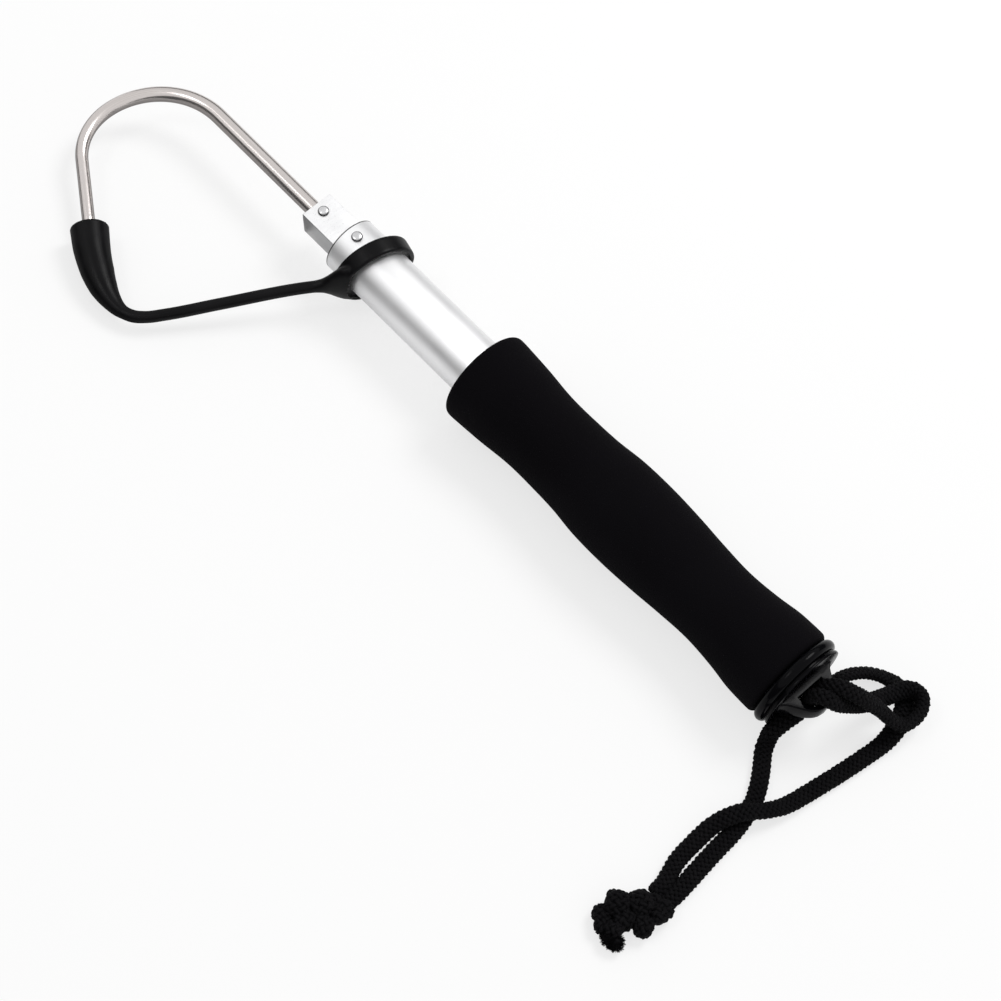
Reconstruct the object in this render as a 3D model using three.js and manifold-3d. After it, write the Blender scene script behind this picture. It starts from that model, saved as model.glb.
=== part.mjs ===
// Telescoping fishing gaff, closed, lying on its side: +X runs to the butt, the hook's point is to -Y,
// and the floor is at zero. A 25 mm tube slides in two wider ones inside a foam grip.
import * as THREE from "three";
import { mergeVertices } from "three/addons/utils/BufferGeometryUtils.js";
import Module from "manifold-3d";

const wasm = await Module();
wasm.setup();

// Driving dimensions, in millimetres
const tubeOuterRadius = 12.5; // of the front tube, the one that shows
const tubeWall = 0.9;
const clearance = 0.3; // between pieces that touch or slide
const bareTubeLength = 80.1; // front tube ahead of the grip when closed
const gripLength = 170.7;
const gripRadius = 20.6; // at its widest, where it lies on the floor
const hookRoll = THREE.MathUtils.degToRad(9.3); // the hook's side lies lower than the pole
const overrun = 2; // a cutter's reach past the face it cuts
const roundSides = 36;
const smallSides = 16;

// Radii of the three tubes, each sliding in the next
const tubeBore = tubeOuterRadius - tubeWall;
const midBore = tubeOuterRadius + clearance;
const midOuter = midBore + tubeWall;
const outerBore = midOuter + clearance;
const outerOuter = outerBore + tubeWall;
const gripBore = outerOuter + clearance;

// Stations along the pole, from the front tube's front end
const spigotLength = 10;
const lockLength = 14; // what a twist lock takes behind its tube
const plugDepth = 10; // how far its plug goes into the tube
const outerRecess = 0.4; // the grip's front face stands proud of the tubes' mouths
const midRecess = 0.7;
const gripStart = bareTubeLength;
const gripEnd = gripStart + gripLength;
const spigotStart = gripEnd - spigotLength;
const midEnd = spigotStart - lockLength;
const frontEnd = midEnd - plugDepth - lockLength;

const finishes = {
  steel: { color: 0xb9b2ad, roughness: 0.28, metalness: 1 },
  block: { color: 0xc4c6c8, roughness: 0.38, metalness: 1 },
  tube: { color: 0xdcdee0, roughness: 0.42, metalness: 1 },
  rivet: { color: 0xd2d3d4, roughness: 0.3, metalness: 1 },
  rubber: { color: 0x101012, roughness: 0.5, metalness: 0 },
  foam: { color: 0x0b0a0d, roughness: 0.95, metalness: 0 },
  cap: { color: 0x08080a, roughness: 0.22, metalness: 0 },
  lock: { color: 0x3a3b3e, roughness: 0.5, metalness: 0 },
  brass: { color: 0xb08d4c, roughness: 0.35, metalness: 1 },
  cord: { color: 0x09090b, roughness: 0.9, metalness: 0 },
};

function piece(name, finish, geometry) {
  const mesh = new THREE.Mesh(geometry, new THREE.MeshStandardMaterial(finishes[finish]));
  mesh.name = name;
  return mesh;
}

// Solids for cutting and joining
function solidOf(geometry) {
  const bare = geometry.clone();
  bare.deleteAttribute("normal");
  bare.deleteAttribute("uv");
  const merged = mergeVertices(bare);
  const vertProperties = merged.attributes.position.array;
  const triVerts = new Uint32Array(merged.index.array);
  return new wasm.Manifold(new wasm.Mesh({ numProp: 3, vertProperties, triVerts }));
}

function geometryOf(solid) {
  const mesh = solid.getMesh();
  const places = new Float32Array(mesh.numVert * 3);
  for (let i = 0; i < mesh.numVert; i++) {
    const from = i * mesh.numProp;
    places.set(mesh.vertProperties.subarray(from, from + 3), i * 3);
  }
  return new THREE.BufferGeometry()
    .setAttribute("position", new THREE.BufferAttribute(places, 3))
    .setIndex(new THREE.BufferAttribute(mesh.triVerts, 1));
}

function joined(first, ...others) {
  return geometryOf(others.reduce((sum, other) => sum.add(solidOf(other)), solidOf(first)));
}

function cut(body, ...cutters) {
  return geometryOf(cutters.reduce((rest, cutter) => rest.subtract(solidOf(cutter)), solidOf(body)));
}

// Shapes turned about the pole's axis: a profile is a list of [station along X, radius]
function turned(profile, sides = roundSides) {
  const points = profile.map(([station, radius]) => new THREE.Vector2(radius, station));
  return new THREE.LatheGeometry(points, sides).rotateZ(-Math.PI / 2);
}

function sleeve(start, end, inner, outer, sides = roundSides) {
  return turned([[start, inner], [start, outer], [end, outer], [end, inner], [start, inner]], sides);
}

function rod(start, end, radius, sides = roundSides) {
  return turned([[start, 0], [start, radius], [end, radius], [end, 0]], sides);
}

// A rod across the pole, along Z, centred on the axis
function crossRod(station, halfLength, radius) {
  return new THREE.CylinderGeometry(radius, radius, 2 * halfLength, smallSides)
    .rotateX(Math.PI / 2)
    .translate(station, 0, 0);
}

// A closed body along a flat path in the XY plane, of oval section: widthAt and heightAt give the
// half sizes in and across the plane at each share of the path
function sweptOval(path, widthAt, heightAt, steps, sides) {
  const places = [];
  const faces = [];
  for (let i = 0; i <= steps; i++) {
    const share = i / steps;
    const centre = path.getPoint(share);
    const along = path.getTangent(share);
    for (let j = 0; j < sides; j++) {
      const angle = (j / sides) * 2 * Math.PI;
      const side = widthAt(share) * Math.cos(angle);
      const height = heightAt(share) * Math.sin(angle);
      places.push(centre.x - along.y * side, centre.y + along.x * side, height);
    }
  }
  for (let i = 0; i < steps; i++) {
    for (let j = 0; j < sides; j++) {
      const a = i * sides + j;
      const b = i * sides + ((j + 1) % sides);
      faces.push(a, b, b + sides, a, b + sides, a + sides);
    }
  }
  const last = steps * sides;
  for (let j = 1; j < sides - 1; j++) {
    faces.push(0, j + 1, j);
    faces.push(last, last + j, last + j + 1);
  }
  return new THREE.BufferGeometry()
    .setAttribute("position", new THREE.Float32BufferAttribute(places, 3))
    .setIndex(faces);
}

// The value at a share of the way, read from a list of [share, value]
function valueAt(list, share) {
  const next = list.findIndex(([place]) => place >= share);
  if (next === 0) return list[0][1];
  const [lowPlace, low] = list[next - 1];
  const [highPlace, high] = list[next];
  return THREE.MathUtils.mapLinear(share, lowPlace, highPlace, low, high);
}

// Hook: a straight shank, a wide bow, a tighter bow and the leg with the point
const hook = {
  shankRadius: 3.5,
  legRadius: 2.65,
  tipRadius: 0.3,
  tipLength: 14,
  gripInBlock: 17.4,
  bowStart: -83.3,
  wideBow: 33.3,
  tightBow: 27.1,
  tightTurn: THREE.MathUtils.degToRad(57.1),
  legLength: 43.75,
};
const block = { length: 20.45, width: 14.8, height: 12.9, edge: 0.5, shankLength: 25, shankEdge: 1 };
const rivet = { radius: 1.2, headRadius: 2.35, headHeight: 1.1, domeSteps: 4 };
rivet.holeRadius = rivet.radius + clearance;
const hookRivetStation = -15.7;
const tubeRivetStation = 5.4;

const shankEnd = hook.gripInBlock - block.length;
const tightCentre = new THREE.Vector2(hook.bowStart - hook.wideBow + hook.tightBow, -hook.wideBow);
const legStart = new THREE.Vector2(-Math.cos(hook.tightTurn), -Math.sin(hook.tightTurn))
  .multiplyScalar(hook.tightBow)
  .add(tightCentre);
const legWay = new THREE.Vector2(Math.sin(hook.tightTurn), -Math.cos(hook.tightTurn));
const legPoint = (distance) => legWay.clone().multiplyScalar(distance).add(legStart);

function makeHook() {
  const tip = legPoint(hook.legLength);
  const path = new THREE.Path();
  path.moveTo(shankEnd, 0);
  path.lineTo(hook.bowStart, 0);
  path.absarc(hook.bowStart, -hook.wideBow, hook.wideBow, Math.PI / 2, Math.PI, false);
  path.absarc(tightCentre.x, tightCentre.y, hook.tightBow, Math.PI, Math.PI + hook.tightTurn, false);
  path.lineTo(tip.x, tip.y);
  const length = path.getLength();
  const radii = [
    [0, hook.shankRadius],
    [-hook.bowStart / length, hook.shankRadius],
    [1 - hook.legLength / length, hook.legRadius],
    [1 - hook.tipLength / length, hook.legRadius],
    [1, hook.tipRadius],
  ];
  const radiusAt = (share) => valueAt(radii, share);
  return cut(
    sweptOval(path, radiusAt, radiusAt, 66, 12),
    crossRod(hookRivetStation, hook.shankRadius + overrun, rivet.holeRadius),
  );
}

// Block: a squared head that grips the hook, and a round shank in the tube
function makeBlock() {
  const outline = new THREE.Shape();
  const halfWidth = block.width / 2 - block.edge;
  const halfHeight = block.height / 2 - block.edge;
  outline.moveTo(-halfHeight, -halfWidth);
  outline.lineTo(halfHeight, -halfWidth);
  outline.lineTo(halfHeight, halfWidth);
  outline.lineTo(-halfHeight, halfWidth);
  outline.closePath();
  const head = new THREE.ExtrudeGeometry(outline, {
    depth: block.length - 2 * block.edge,
    bevelThickness: block.edge,
    bevelSize: block.edge,
    bevelSegments: 1,
  });
  head.rotateY(Math.PI / 2).translate(block.edge - block.length, 0, 0);
  const shankRadius = tubeBore - clearance;
  const shank = turned([
    [-block.edge - overrun, 0],
    [-block.edge - overrun, halfHeight],
    [0, halfHeight],
    [0, shankRadius],
    [block.shankLength - block.shankEdge, shankRadius],
    [block.shankLength, shankRadius - block.shankEdge],
    [block.shankLength, 0],
  ]);
  return cut(
    joined(head, shank),
    rod(-block.length - overrun, shankEnd + clearance, hook.shankRadius + clearance, smallSides),
    crossRod(hookRivetStation, block.height, rivet.holeRadius),
    crossRod(tubeRivetStation, tubeOuterRadius, rivet.holeRadius),
  );
}

// A rivet across the pole with a domed head at each end, on faces that lie at plus and minus seat
function makeRivet(station, seat) {
  const face = seat + clearance;
  const dome = Array.from({ length: rivet.domeSteps + 1 }, (_, i) => {
    const angle = (i / rivet.domeSteps) * (Math.PI / 2);
    return [face + rivet.headHeight * Math.cos(angle), rivet.headRadius * Math.sin(angle)];
  });
  const low = dome.map(([height, radius]) => [-height, radius]);
  const profile = [...low, [-face, rivet.radius], [face, rivet.radius], ...dome.reverse()];
  return turned(profile, smallSides).rotateY(-Math.PI / 2).translate(station, 0, 0);
}

function makeFrontTube() {
  const hole = crossRod(tubeRivetStation, tubeOuterRadius + overrun, rivet.holeRadius);
  return cut(sleeve(0, frontEnd, tubeBore, tubeOuterRadius), hole);
}

// Point guard: a loose ring on the tube, a web, an arm and a hollow horn over the point
const guard = {
  ringGap: 2.1, // between ring and tube when the ring sits square and central
  ringWall: 2.2,
  ringHeight: 7.6,
  ringEdge: 0.8,
  ringStation: 14.9,
  ringAside: 0.42, // how far the loose ring lies off the axis, to the side and down
  ringDown: 0.63,
  ringTurn: THREE.MathUtils.degToRad(13), // its axis leans towards the point
  ringLean: THREE.MathUtils.degToRad(3), // and down
  mouthRadius: 8,
  mouthBore: 6,
  boreEnd: 1.4,
  cover: 10.6, // how much of the point the horn takes in
  tipRoom: 3,
  webHeight: 5.2,
  webEdge: 0.8,
};
const ringBore = tubeOuterRadius + guard.ringGap;
const mouth = legPoint(hook.legLength - guard.cover);
// The arm meets the ring inside its wall, at the ring's lowest side
const ringFoot = new THREE.Vector2(0, -ringBore - guard.ringWall / 2)
  .rotateAround(new THREE.Vector2(), -guard.ringTurn)
  .add(new THREE.Vector2(guard.ringStation, guard.ringAside));

// The arm's route in shares of the way from the mouth to the ring's foot, along X and along Y
const armRouteShares = [
  [0, 0], [0.102, -0.095], [0.202, -0.168], [0.281, -0.213], [0.363, -0.24], [0.436, -0.242],
  [0.496, -0.209], [0.544, -0.14], [0.589, -0.038], [0.712, 0.287], [0.903, 0.787], [1, 1],
];
// Half sizes along that route: [share of the route, share of the mouth's radius]
const hornWidthShares = [
  [0, 1], [0.07, 0.955], [0.16, 0.85], [0.22, 0.71], [0.29, 0.46], [0.33, 0.34], [0.4, 0.31], [1, 0.31],
];
const hornHeightShares = [
  [0, 1], [0.07, 0.94], [0.16, 0.8], [0.22, 0.66], [0.29, 0.44], [0.33, 0.35], [0.4, 0.32], [1, 0.32],
];
// The web's outline in shares of the ring's outer radius, from the ring's foot
const webShares = [
  [-0.55, -0.71], [-0.48, -0.46], [-0.42, -0.29], [-0.43, -0.07], [-0.44, 0.06], [-0.2, 0.1], [0.18, 0.02],
  [0.22, -0.1], [0.08, -0.24], [-0.12, -0.4], [-0.41, -0.79],
];

function ringPose(geometry) {
  return geometry
    .rotateY(guard.ringLean)
    .rotateZ(-guard.ringTurn)
    .translate(guard.ringStation, guard.ringAside, -guard.ringDown);
}

function makeArm() {
  const way = ringFoot.clone().sub(mouth);
  const route = armRouteShares.map(([x, y]) => new THREE.Vector2(x * way.x, y * way.y).add(mouth));
  const path = new THREE.CurvePath();
  path.add(new THREE.SplineCurve(route));
  const widthAt = (share) => guard.mouthRadius * valueAt(hornWidthShares, share);
  const heightAt = (share) => guard.mouthRadius * valueAt(hornHeightShares, share);
  return sweptOval(path, widthAt, heightAt, 48, 16);
}

function makeGuard() {
  const half = guard.ringHeight / 2;
  const outer = ringBore + guard.ringWall;
  const edge = guard.ringEdge;
  const ring = turned([
    [-half, ringBore],
    [-half, outer - edge],
    [edge - half, outer],
    [half - edge, outer],
    [half, outer - edge],
    [half, ringBore],
    [-half, ringBore],
  ]);
  const outline = webShares.map(([x, y]) => new THREE.Vector2(x * outer, y * outer).add(ringFoot));
  const web = new THREE.ExtrudeGeometry(new THREE.Shape(outline), {
    depth: guard.webHeight - 2 * guard.webEdge,
    bevelThickness: guard.webEdge,
    bevelSize: guard.webEdge,
    bevelSegments: 1,
  });
  web.translate(0, 0, guard.webEdge - guard.webHeight / 2);
  const bore = turned([
    [-overrun, 0],
    [-overrun, guard.mouthBore],
    [0, guard.mouthBore],
    [guard.cover + guard.tipRoom, guard.boreEnd],
    [guard.cover + guard.tipRoom, 0],
  ], smallSides);
  bore.rotateZ(legWay.angle()).translate(mouth.x, mouth.y, 0);
  const through = ringPose(rod(-guard.ringHeight, guard.ringHeight, ringBore));
  const tubeRoom = rod(-outer, guard.ringStation + outer, tubeOuterRadius + clearance);
  return cut(joined(ringPose(ring), web, makeArm()), through, tubeRoom, bore);
}

// Grip: a foam sleeve with two waists. [share of its length, share of its radius]
const gripShares = [
  [0.025, 1], [0.11, 0.951], [0.2, 0.879], [0.287, 0.877], [0.348, 0.894], [0.426, 0.956], [0.512, 0.967],
  [0.615, 0.927], [0.695, 0.874], [0.779, 0.84], [0.864, 0.889], [0.925, 0.956], [0.968, 0.969],
];
const gripEdge = 2.4;

function makeGrip() {
  const outline = gripShares.map(
    ([along, out]) => new THREE.Vector2(gripStart + along * gripLength, out * gripRadius),
  );
  const wave = new THREE.SplineCurve(outline).getPoints(2 * outline.length).map((p) => [p.x, p.y]);
  const [frontStation, frontRadius] = wave[0];
  const [rearStation, rearRadius] = wave.at(-1);
  const corner = (station, radius, facing) =>
    [0, 0.25, 0.5, 0.75].map((share) => {
      const angle = (share * Math.PI) / 2;
      return [
        station + facing * (gripEdge - gripEdge * (1 - Math.cos(angle))),
        radius - gripEdge + gripEdge * Math.sin(angle),
      ];
    });
  const front = corner(gripStart + gripEdge, frontRadius, -1);
  const rear = corner(gripEnd - gripEdge, rearRadius, 1).reverse();
  const inside = wave.filter(([x]) => x > gripStart + gripEdge && x < gripEnd - gripEdge);
  return turned([
    [gripStart, gripBore],
    ...front,
    ...(frontStation > gripStart + gripEdge ? [] : [[frontStation, frontRadius]]),
    ...inside,
    ...(rearStation < gripEnd - gripEdge ? [] : [[rearStation, rearRadius]]),
    ...rear,
    [gripEnd, gripBore],
    [gripStart, gripBore],
  ]);
}

// End cap: a hollow spigot in the outer tube, a bead, a groove, a disc and a lug with an eye
const cap = {
  spigotWall: 2,
  floor: 1.2, // how far the hollow stops behind the grip's end
  beadRadius: 2.4,
  beadRing: 17.9, // from the axis to the bead's centre
  beadSteps: 8,
  grooveRadius: 17.1,
  grooveWidth: 0.7,
  discRadius: 18.9,
  discThickness: 1.2,
  discEdge: 0.4,
};
const lug = { halfWidth: 11.8, reach: 11.7, lip: 2.6, top: 4.4, thickness: 7, root: 1, eyeStart: 2 };
const beadStart = gripEnd + clearance;
const grooveStart = beadStart + 2 * cap.beadRadius;
const discStart = grooveStart + cap.grooveWidth;
const capRear = discStart + cap.discThickness;
// Half of the lug's outline and of its eye, in shares of the reach and of the half width
const lugShares = [[0, 1], [0.34, 0.88], [0.72, 0.61], [0.96, 0.26], [1, 0]];
const eyeShares = [[0.02, 0.97], [0.4, 0.97], [0.8, 0.8], [0.97, 0.36], [1, 0]];

function mirrored(shares, length, halfWidth, start) {
  const half = shares.map(([along, out]) => new THREE.Vector2(start + along * length, -out * halfWidth));
  const other = half.slice(0, -1).reverse().map((p) => new THREE.Vector2(p.x, -p.y));
  return [...half, ...other];
}

function makeCap() {
  const spigotRadius = outerBore - clearance;
  const beadCentre = beadStart + cap.beadRadius;
  const bead = Array.from({ length: cap.beadSteps + 1 }, (_, i) => {
    const angle = Math.PI * (1 - i / cap.beadSteps);
    return [beadCentre + cap.beadRadius * Math.cos(angle), cap.beadRing + cap.beadRadius * Math.sin(angle)];
  });
  const body = turned([
    [gripEnd + cap.floor, 0],
    [gripEnd + cap.floor, spigotRadius - cap.spigotWall],
    [spigotStart, spigotRadius - cap.spigotWall],
    [spigotStart, spigotRadius],
    [beadStart, spigotRadius],
    ...bead,
    [grooveStart, cap.grooveRadius],
    [discStart, cap.grooveRadius],
    [discStart, cap.discRadius],
    [capRear - cap.discEdge, cap.discRadius],
    [capRear, cap.discRadius - cap.discEdge],
    [capRear, 0],
  ]);
  const outline = mirrored(lugShares, lug.reach, lug.halfWidth, capRear);
  const root = [[lug.root, 1], [lug.root, -1]].map(
    ([back, side]) => new THREE.Vector2(capRear - back, side * lug.halfWidth),
  );
  const plate = new THREE.ExtrudeGeometry(new THREE.Shape([...outline, ...root]), {
    depth: lug.thickness,
    bevelEnabled: false,
  });
  const eyeLength = lug.reach - lug.lip - lug.eyeStart;
  const eyeHalf = lug.halfWidth - 2 * lug.lip;
  const eyeOutline = mirrored(eyeShares, eyeLength, eyeHalf, capRear + lug.eyeStart);
  const eye = new THREE.ExtrudeGeometry(new THREE.Shape(eyeOutline), {
    depth: lug.thickness + 2 * overrun,
    bevelEnabled: false,
  });
  plate.translate(0, 0, lug.top - lug.thickness);
  eye.translate(0, 0, lug.top - lug.thickness - overrun);
  return cut(joined(body, plate), eye);
}

// Twist lock at the end of a tube: plug, stud, split collar, cone and stop nut
const lock = {
  flange: 1.7,
  studRadius: 3,
  studInset: 1,
  nutRadius: 5.6,
  nutThickness: 1.6,
  coneTravel: 1,
  slit: 2,
  finRoom: 1.5, // from the fin's edge to the bore that the collar grips
};
const coneShares = { small: 0.42, large: 0.66 }; // of the bore that the collar grips

function makeLock(name, tubeEnd, insideTube, outsideTube, carrierBore) {
  const plugStart = tubeEnd - plugDepth;
  const hole = lock.studRadius + clearance;
  const flangeEnd = tubeEnd + clearance + lock.flange;
  const nutEnd = tubeEnd + lockLength - clearance;
  const nutStart = nutEnd - lock.nutThickness;
  const coneEnd = nutStart - clearance - lock.coneTravel;
  const collarStart = flangeEnd + clearance;
  const coneStart = collarStart + clearance;
  const small = coneShares.small * carrierBore;
  const large = coneShares.large * carrierBore;
  const plug = turned([
    [plugStart, hole],
    [plugStart, insideTube - clearance],
    [tubeEnd + clearance, insideTube - clearance],
    [tubeEnd + clearance, outsideTube],
    [flangeEnd, outsideTube],
    [flangeEnd, hole],
    [plugStart, hole],
  ]);
  const ring = turned([
    [collarStart, small + clearance],
    [collarStart, carrierBore - clearance],
    [coneEnd, carrierBore - clearance],
    [coneEnd, large + clearance],
    [collarStart, small + clearance],
  ]);
  const length = coneEnd - collarStart;
  const slit = new THREE.BoxGeometry(length + 2 * overrun, lock.slit, carrierBore)
    .translate(collarStart + length / 2, 0, carrierBore / 2 + small / 2);
  const coneLength = coneEnd - coneStart;
  const finTop = carrierBore - lock.finRoom;
  const fin = new THREE.BoxGeometry(coneLength / 2, lock.slit - 2 * clearance, finTop - small)
    .translate(coneEnd - coneLength / 4, 0, (finTop + small) / 2);
  const cone = joined(
    turned([[coneStart, hole], [coneStart, small], [coneEnd, large], [coneEnd, hole], [coneStart, hole]]),
    fin,
  );
  const nut = cut(
    rod(nutStart, nutEnd, lock.nutRadius, 6),
    rod(nutStart - overrun, nutEnd + overrun, hole, smallSides),
  );
  return {
    plug: piece(name + "_lock_plug", "lock", plug),
    stud: piece(name + "_lock_stud", "brass", rod(plugStart + lock.studInset, nutEnd, lock.studRadius, smallSides)),
    collar: piece(name + "_lock_collar", "lock", cut(ring, slit)),
    cone: piece(name + "_lock_cone", "brass", cone),
    nut: piece(name + "_lock_nut", "brass", nut),
  };
}

// Lanyard: a flat braided cord, modelled as round. Its lead runs from the knot up into the eye, and
// its loop goes on from there, round in a bight, down through the eye and back to the knot
const cordWidth = 7.5; // the flat braid's width
const cordRadius = 2.5; // of the round stand-in
const cordSides = 8;
const leadSteps = 20;
const loopSteps = 60;
// Routes in millimetres from the front tube's front end, the pole's axis and the floor
const leadRoute = [
  [281, -93, 2.6], [281, -88, 2.6], [280.3, -80, 2.6], [279.5, -72, 2.6], [278.7, -63, 2.6],
  [278.2, -55, 2.6], [277.1, -47.4, 2.6], [274.9, -39.2, 2.6], [270.9, -31.6, 2.6], [266.6, -25.6, 2.6],
  [263.2, -21.2, 2.7], [261.5, -18, 4], [261.2, -15.6, 7.4], [261.7, -11.4, 10.6], [262.4, -5.2, 14],
  [262.9, -2.9, 17.6], [262.9, -2.9, 21.35],
];
const loopRoute = [
  [262.9, -2.9, 21.65], [262.9, -2.9, 25.6], [264.6, -2.8, 29.6], [267.9, -1.6, 30.8], [271.2, 1.6, 27.8],
  [274, 8.2, 22.2], [276.6, 17.4, 14.8], [279.4, 29.2, 9.4], [281.2, 36, 8.2], [283.8, 40.2, 8.1],
  [288, 41, 7.9], [291.3, 37.8, 7.8], [292.8, 32, 7.9], [291.4, 25.4, 8.8], [287, 21.6, 12.4],
  [282, 18, 18.2], [278.4, 13.8, 23.8], [274, 9.2, 29.2], [267.8, 5.2, 31.4], [263.7, 3, 27.8],
  [262.9, 2.8, 21.6], [262.7, 3, 15.6], [262.2, 11.5, 10.2], [262.6, 22, 8.4], [266.2, 31.6, 5.6],
  [272.2, 38, 3.2], [278.4, 40.1, 2.6], [284.4, 38.4, 2.6], [288.2, 32, 2.6], [290.9, 20, 2.6],
  [290, 7, 2.6], [285.9, -20, 2.6], [283.6, -32, 4], [280, -41, 7], [275.2, -48.4, 8],
  [271.8, -57.4, 5.2], [271.4, -67, 2.8], [272.4, -78, 2.6], [275.3, -88.4, 2.6], [275.3, -93, 2.6],
];
// The knot's lobes in cord widths from the middle of the two ends: [x, y, z, radius]
const knotLobeShares = [
  [-1.07, -2.03, 0.75, 0.68], [-0.39, -1.07, 0.72, 0.68], [0.5, -0.75, 0.62, 0.55], [0.56, -1.68, 0.6, 0.57],
  [-1.39, -2.93, 0.5, 0.47], [-0.52, -2.79, 0.55, 0.52], [-0.17, -3.37, 0.43, 0.4],
];

function makeCord(route, steps) {
  const path = new THREE.CatmullRomCurve3(route.map((place) => new THREE.Vector3(...place)), false);
  const section = new THREE.Shape();
  section.absarc(0, 0, cordRadius, 0, 2 * Math.PI, false);
  return new THREE.ExtrudeGeometry(section, {
    steps,
    curveSegments: cordSides / 2,
    extrudePath: path,
    bevelEnabled: false,
  });
}

function makeKnot() {
  const ends = [new THREE.Vector3(...leadRoute[0]), new THREE.Vector3(...loopRoute.at(-1))];
  const middle = ends[0].clone().add(ends[1]).multiplyScalar(0.5).setZ(0);
  const lobes = knotLobeShares.map(([x, y, z, radius]) =>
    new THREE.SphereGeometry(radius * cordWidth, 12, 8)
      .translate(middle.x + x * cordWidth, middle.y + y * cordWidth, z * cordWidth),
  );
  const throats = ends.map((end) =>
    new THREE.CylinderGeometry(cordRadius, cordRadius, 2 * cordWidth, cordSides)
      .translate(end.x, end.y - clearance, end.z),
  );
  const all = joined(...throats, ...lobes);
  const size = 8 * cordWidth;
  const ahead = new THREE.BoxGeometry(size, size, size).translate(middle.x, middle.y - clearance + size / 2, 0);
  return cut(all, ahead);
}

// Assembly
const mid = makeLock("mid", midEnd, midBore, midOuter, outerBore);
const front = makeLock("front", frontEnd, tubeBore, tubeOuterRadius, midBore);

const hookPlane = new THREE.Group();
hookPlane.rotation.x = hookRoll;
hookPlane.add(
  piece("hook", "steel", makeHook()),
  piece("head_block", "block", makeBlock()),
  piece("hook_rivet", "rivet", makeRivet(hookRivetStation, block.height / 2)),
  piece("tube_rivet", "rivet", makeRivet(tubeRivetStation, tubeOuterRadius)),
  piece("front_tube", "tube", makeFrontTube()),
  piece("point_guard", "rubber", makeGuard()),
);

const pole = new THREE.Group();
pole.position.z = gripRadius;
pole.add(
  hookPlane,
  piece("mid_tube", "tube", sleeve(gripStart + midRecess, midEnd, midBore, midOuter)),
  piece("outer_tube", "tube", sleeve(gripStart + outerRecess, gripEnd, outerBore, outerOuter)),
  piece("grip", "foam", makeGrip()),
  piece("end_cap", "cap", makeCap()),
  ...Object.values(mid),
  ...Object.values(front),
);

const cords = new THREE.Group();
cords.add(
  piece("lanyard_lead", "cord", makeCord(leadRoute, leadSteps)),
  piece("lanyard_loop", "cord", makeCord(loopRoute, loopSteps)),
  piece("lanyard_knot", "cord", makeKnot()),
);

// The origin is on the floor, under the middle of everything but the cord
const gaff = new THREE.Group();
const box = new THREE.Box3().setFromObject(pole, true);
gaff.position.set(-(box.min.x + box.max.x) / 2, -(box.min.y + box.max.y) / 2, -box.min.z);
gaff.add(pole, cords);

export default gaff;
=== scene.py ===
"""A closed telescoping fishing gaff on a pale table: steel hook, rubber point guard, aluminium pole,
foam grip, butt cap and braided wrist lanyard. Lengths are in metres."""
import math

import bmesh
import bpy
import numpy as np
from mathutils import Matrix, Vector


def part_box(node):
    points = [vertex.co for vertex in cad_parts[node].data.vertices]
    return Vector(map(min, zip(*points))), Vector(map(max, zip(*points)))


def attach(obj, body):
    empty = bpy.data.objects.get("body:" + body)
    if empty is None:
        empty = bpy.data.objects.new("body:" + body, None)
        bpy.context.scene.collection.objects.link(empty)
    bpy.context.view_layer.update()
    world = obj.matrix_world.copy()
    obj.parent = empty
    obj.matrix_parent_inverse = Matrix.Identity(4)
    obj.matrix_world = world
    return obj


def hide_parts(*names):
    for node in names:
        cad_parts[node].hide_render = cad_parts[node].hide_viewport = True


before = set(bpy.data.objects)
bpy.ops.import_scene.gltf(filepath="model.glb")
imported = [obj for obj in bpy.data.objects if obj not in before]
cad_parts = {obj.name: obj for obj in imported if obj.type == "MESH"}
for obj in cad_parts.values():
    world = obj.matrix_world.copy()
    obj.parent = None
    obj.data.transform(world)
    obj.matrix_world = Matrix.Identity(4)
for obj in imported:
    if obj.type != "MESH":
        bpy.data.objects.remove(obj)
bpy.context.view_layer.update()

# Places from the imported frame: stations run along the pole from the front tube's front end
front_low, front_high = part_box("front_tube")
outer_low, outer_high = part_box("outer_tube")
grip_low, grip_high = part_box("grip")
cap_low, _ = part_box("end_cap")
AXIS_Y = (outer_low.y + outer_high.y) / 2
AXIS_Z = (outer_low.z + outer_high.z) / 2
FRONT_X = front_low.x
TUBE_RADIUS = (front_high.z - front_low.z) / 2
HOOK_ROLL = math.radians(9.3)
BLOCK_LENGTH = 0.02045
BLOCK_WIDTH = 0.0148
BLOCK_HEIGHT = 0.0129
POLE = Matrix.Translation((FRONT_X, AXIS_Y, AXIS_Z))
HEAD = POLE @ Matrix.Rotation(HOOK_ROLL, 4, "X")


# The camera of the photograph: its lens, its place and where its picture's right and top point
LENS_MM = 77.03
SENSOR_MM = 36
NEAREST_SEEN = 0.05
CAMERA_PLACE = (0.28703, -0.35479, 0.7246)
CAMERA_RIGHT = (0.6773, 0.7223, 0.1396)
CAMERA_UP = (-0.6781, 0.5394, 0.4991)


def make_camera():
    data = bpy.data.cameras.new("camera")
    data.lens, data.sensor_width, data.clip_start = LENS_MM, SENSOR_MM, NEAREST_SEEN
    camera = bpy.data.objects.new("camera", data)
    bpy.context.collection.objects.link(camera)
    right, up = Vector(CAMERA_RIGHT), Vector(CAMERA_UP)
    back = right.cross(up).normalized()
    up = back.cross(right).normalized()
    turn = Matrix((right.normalized(), up, back)).transposed().to_4x4()
    camera.matrix_world = Matrix.Translation(CAMERA_PLACE) @ turn
    bpy.context.scene.camera = camera


make_camera()


# Nodes, and the groups that several finishes share
def fill(node, inputs):
    """Links each named input to the socket that is given for it, or sets it to the value."""
    for label, value in inputs.items():
        socket = node.inputs[label.replace("_", " ") if isinstance(label, str) else label]
        if isinstance(value, bpy.types.NodeSocket):
            node.id_data.links.new(value, socket)
        else:
            socket.default_value = value


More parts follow.
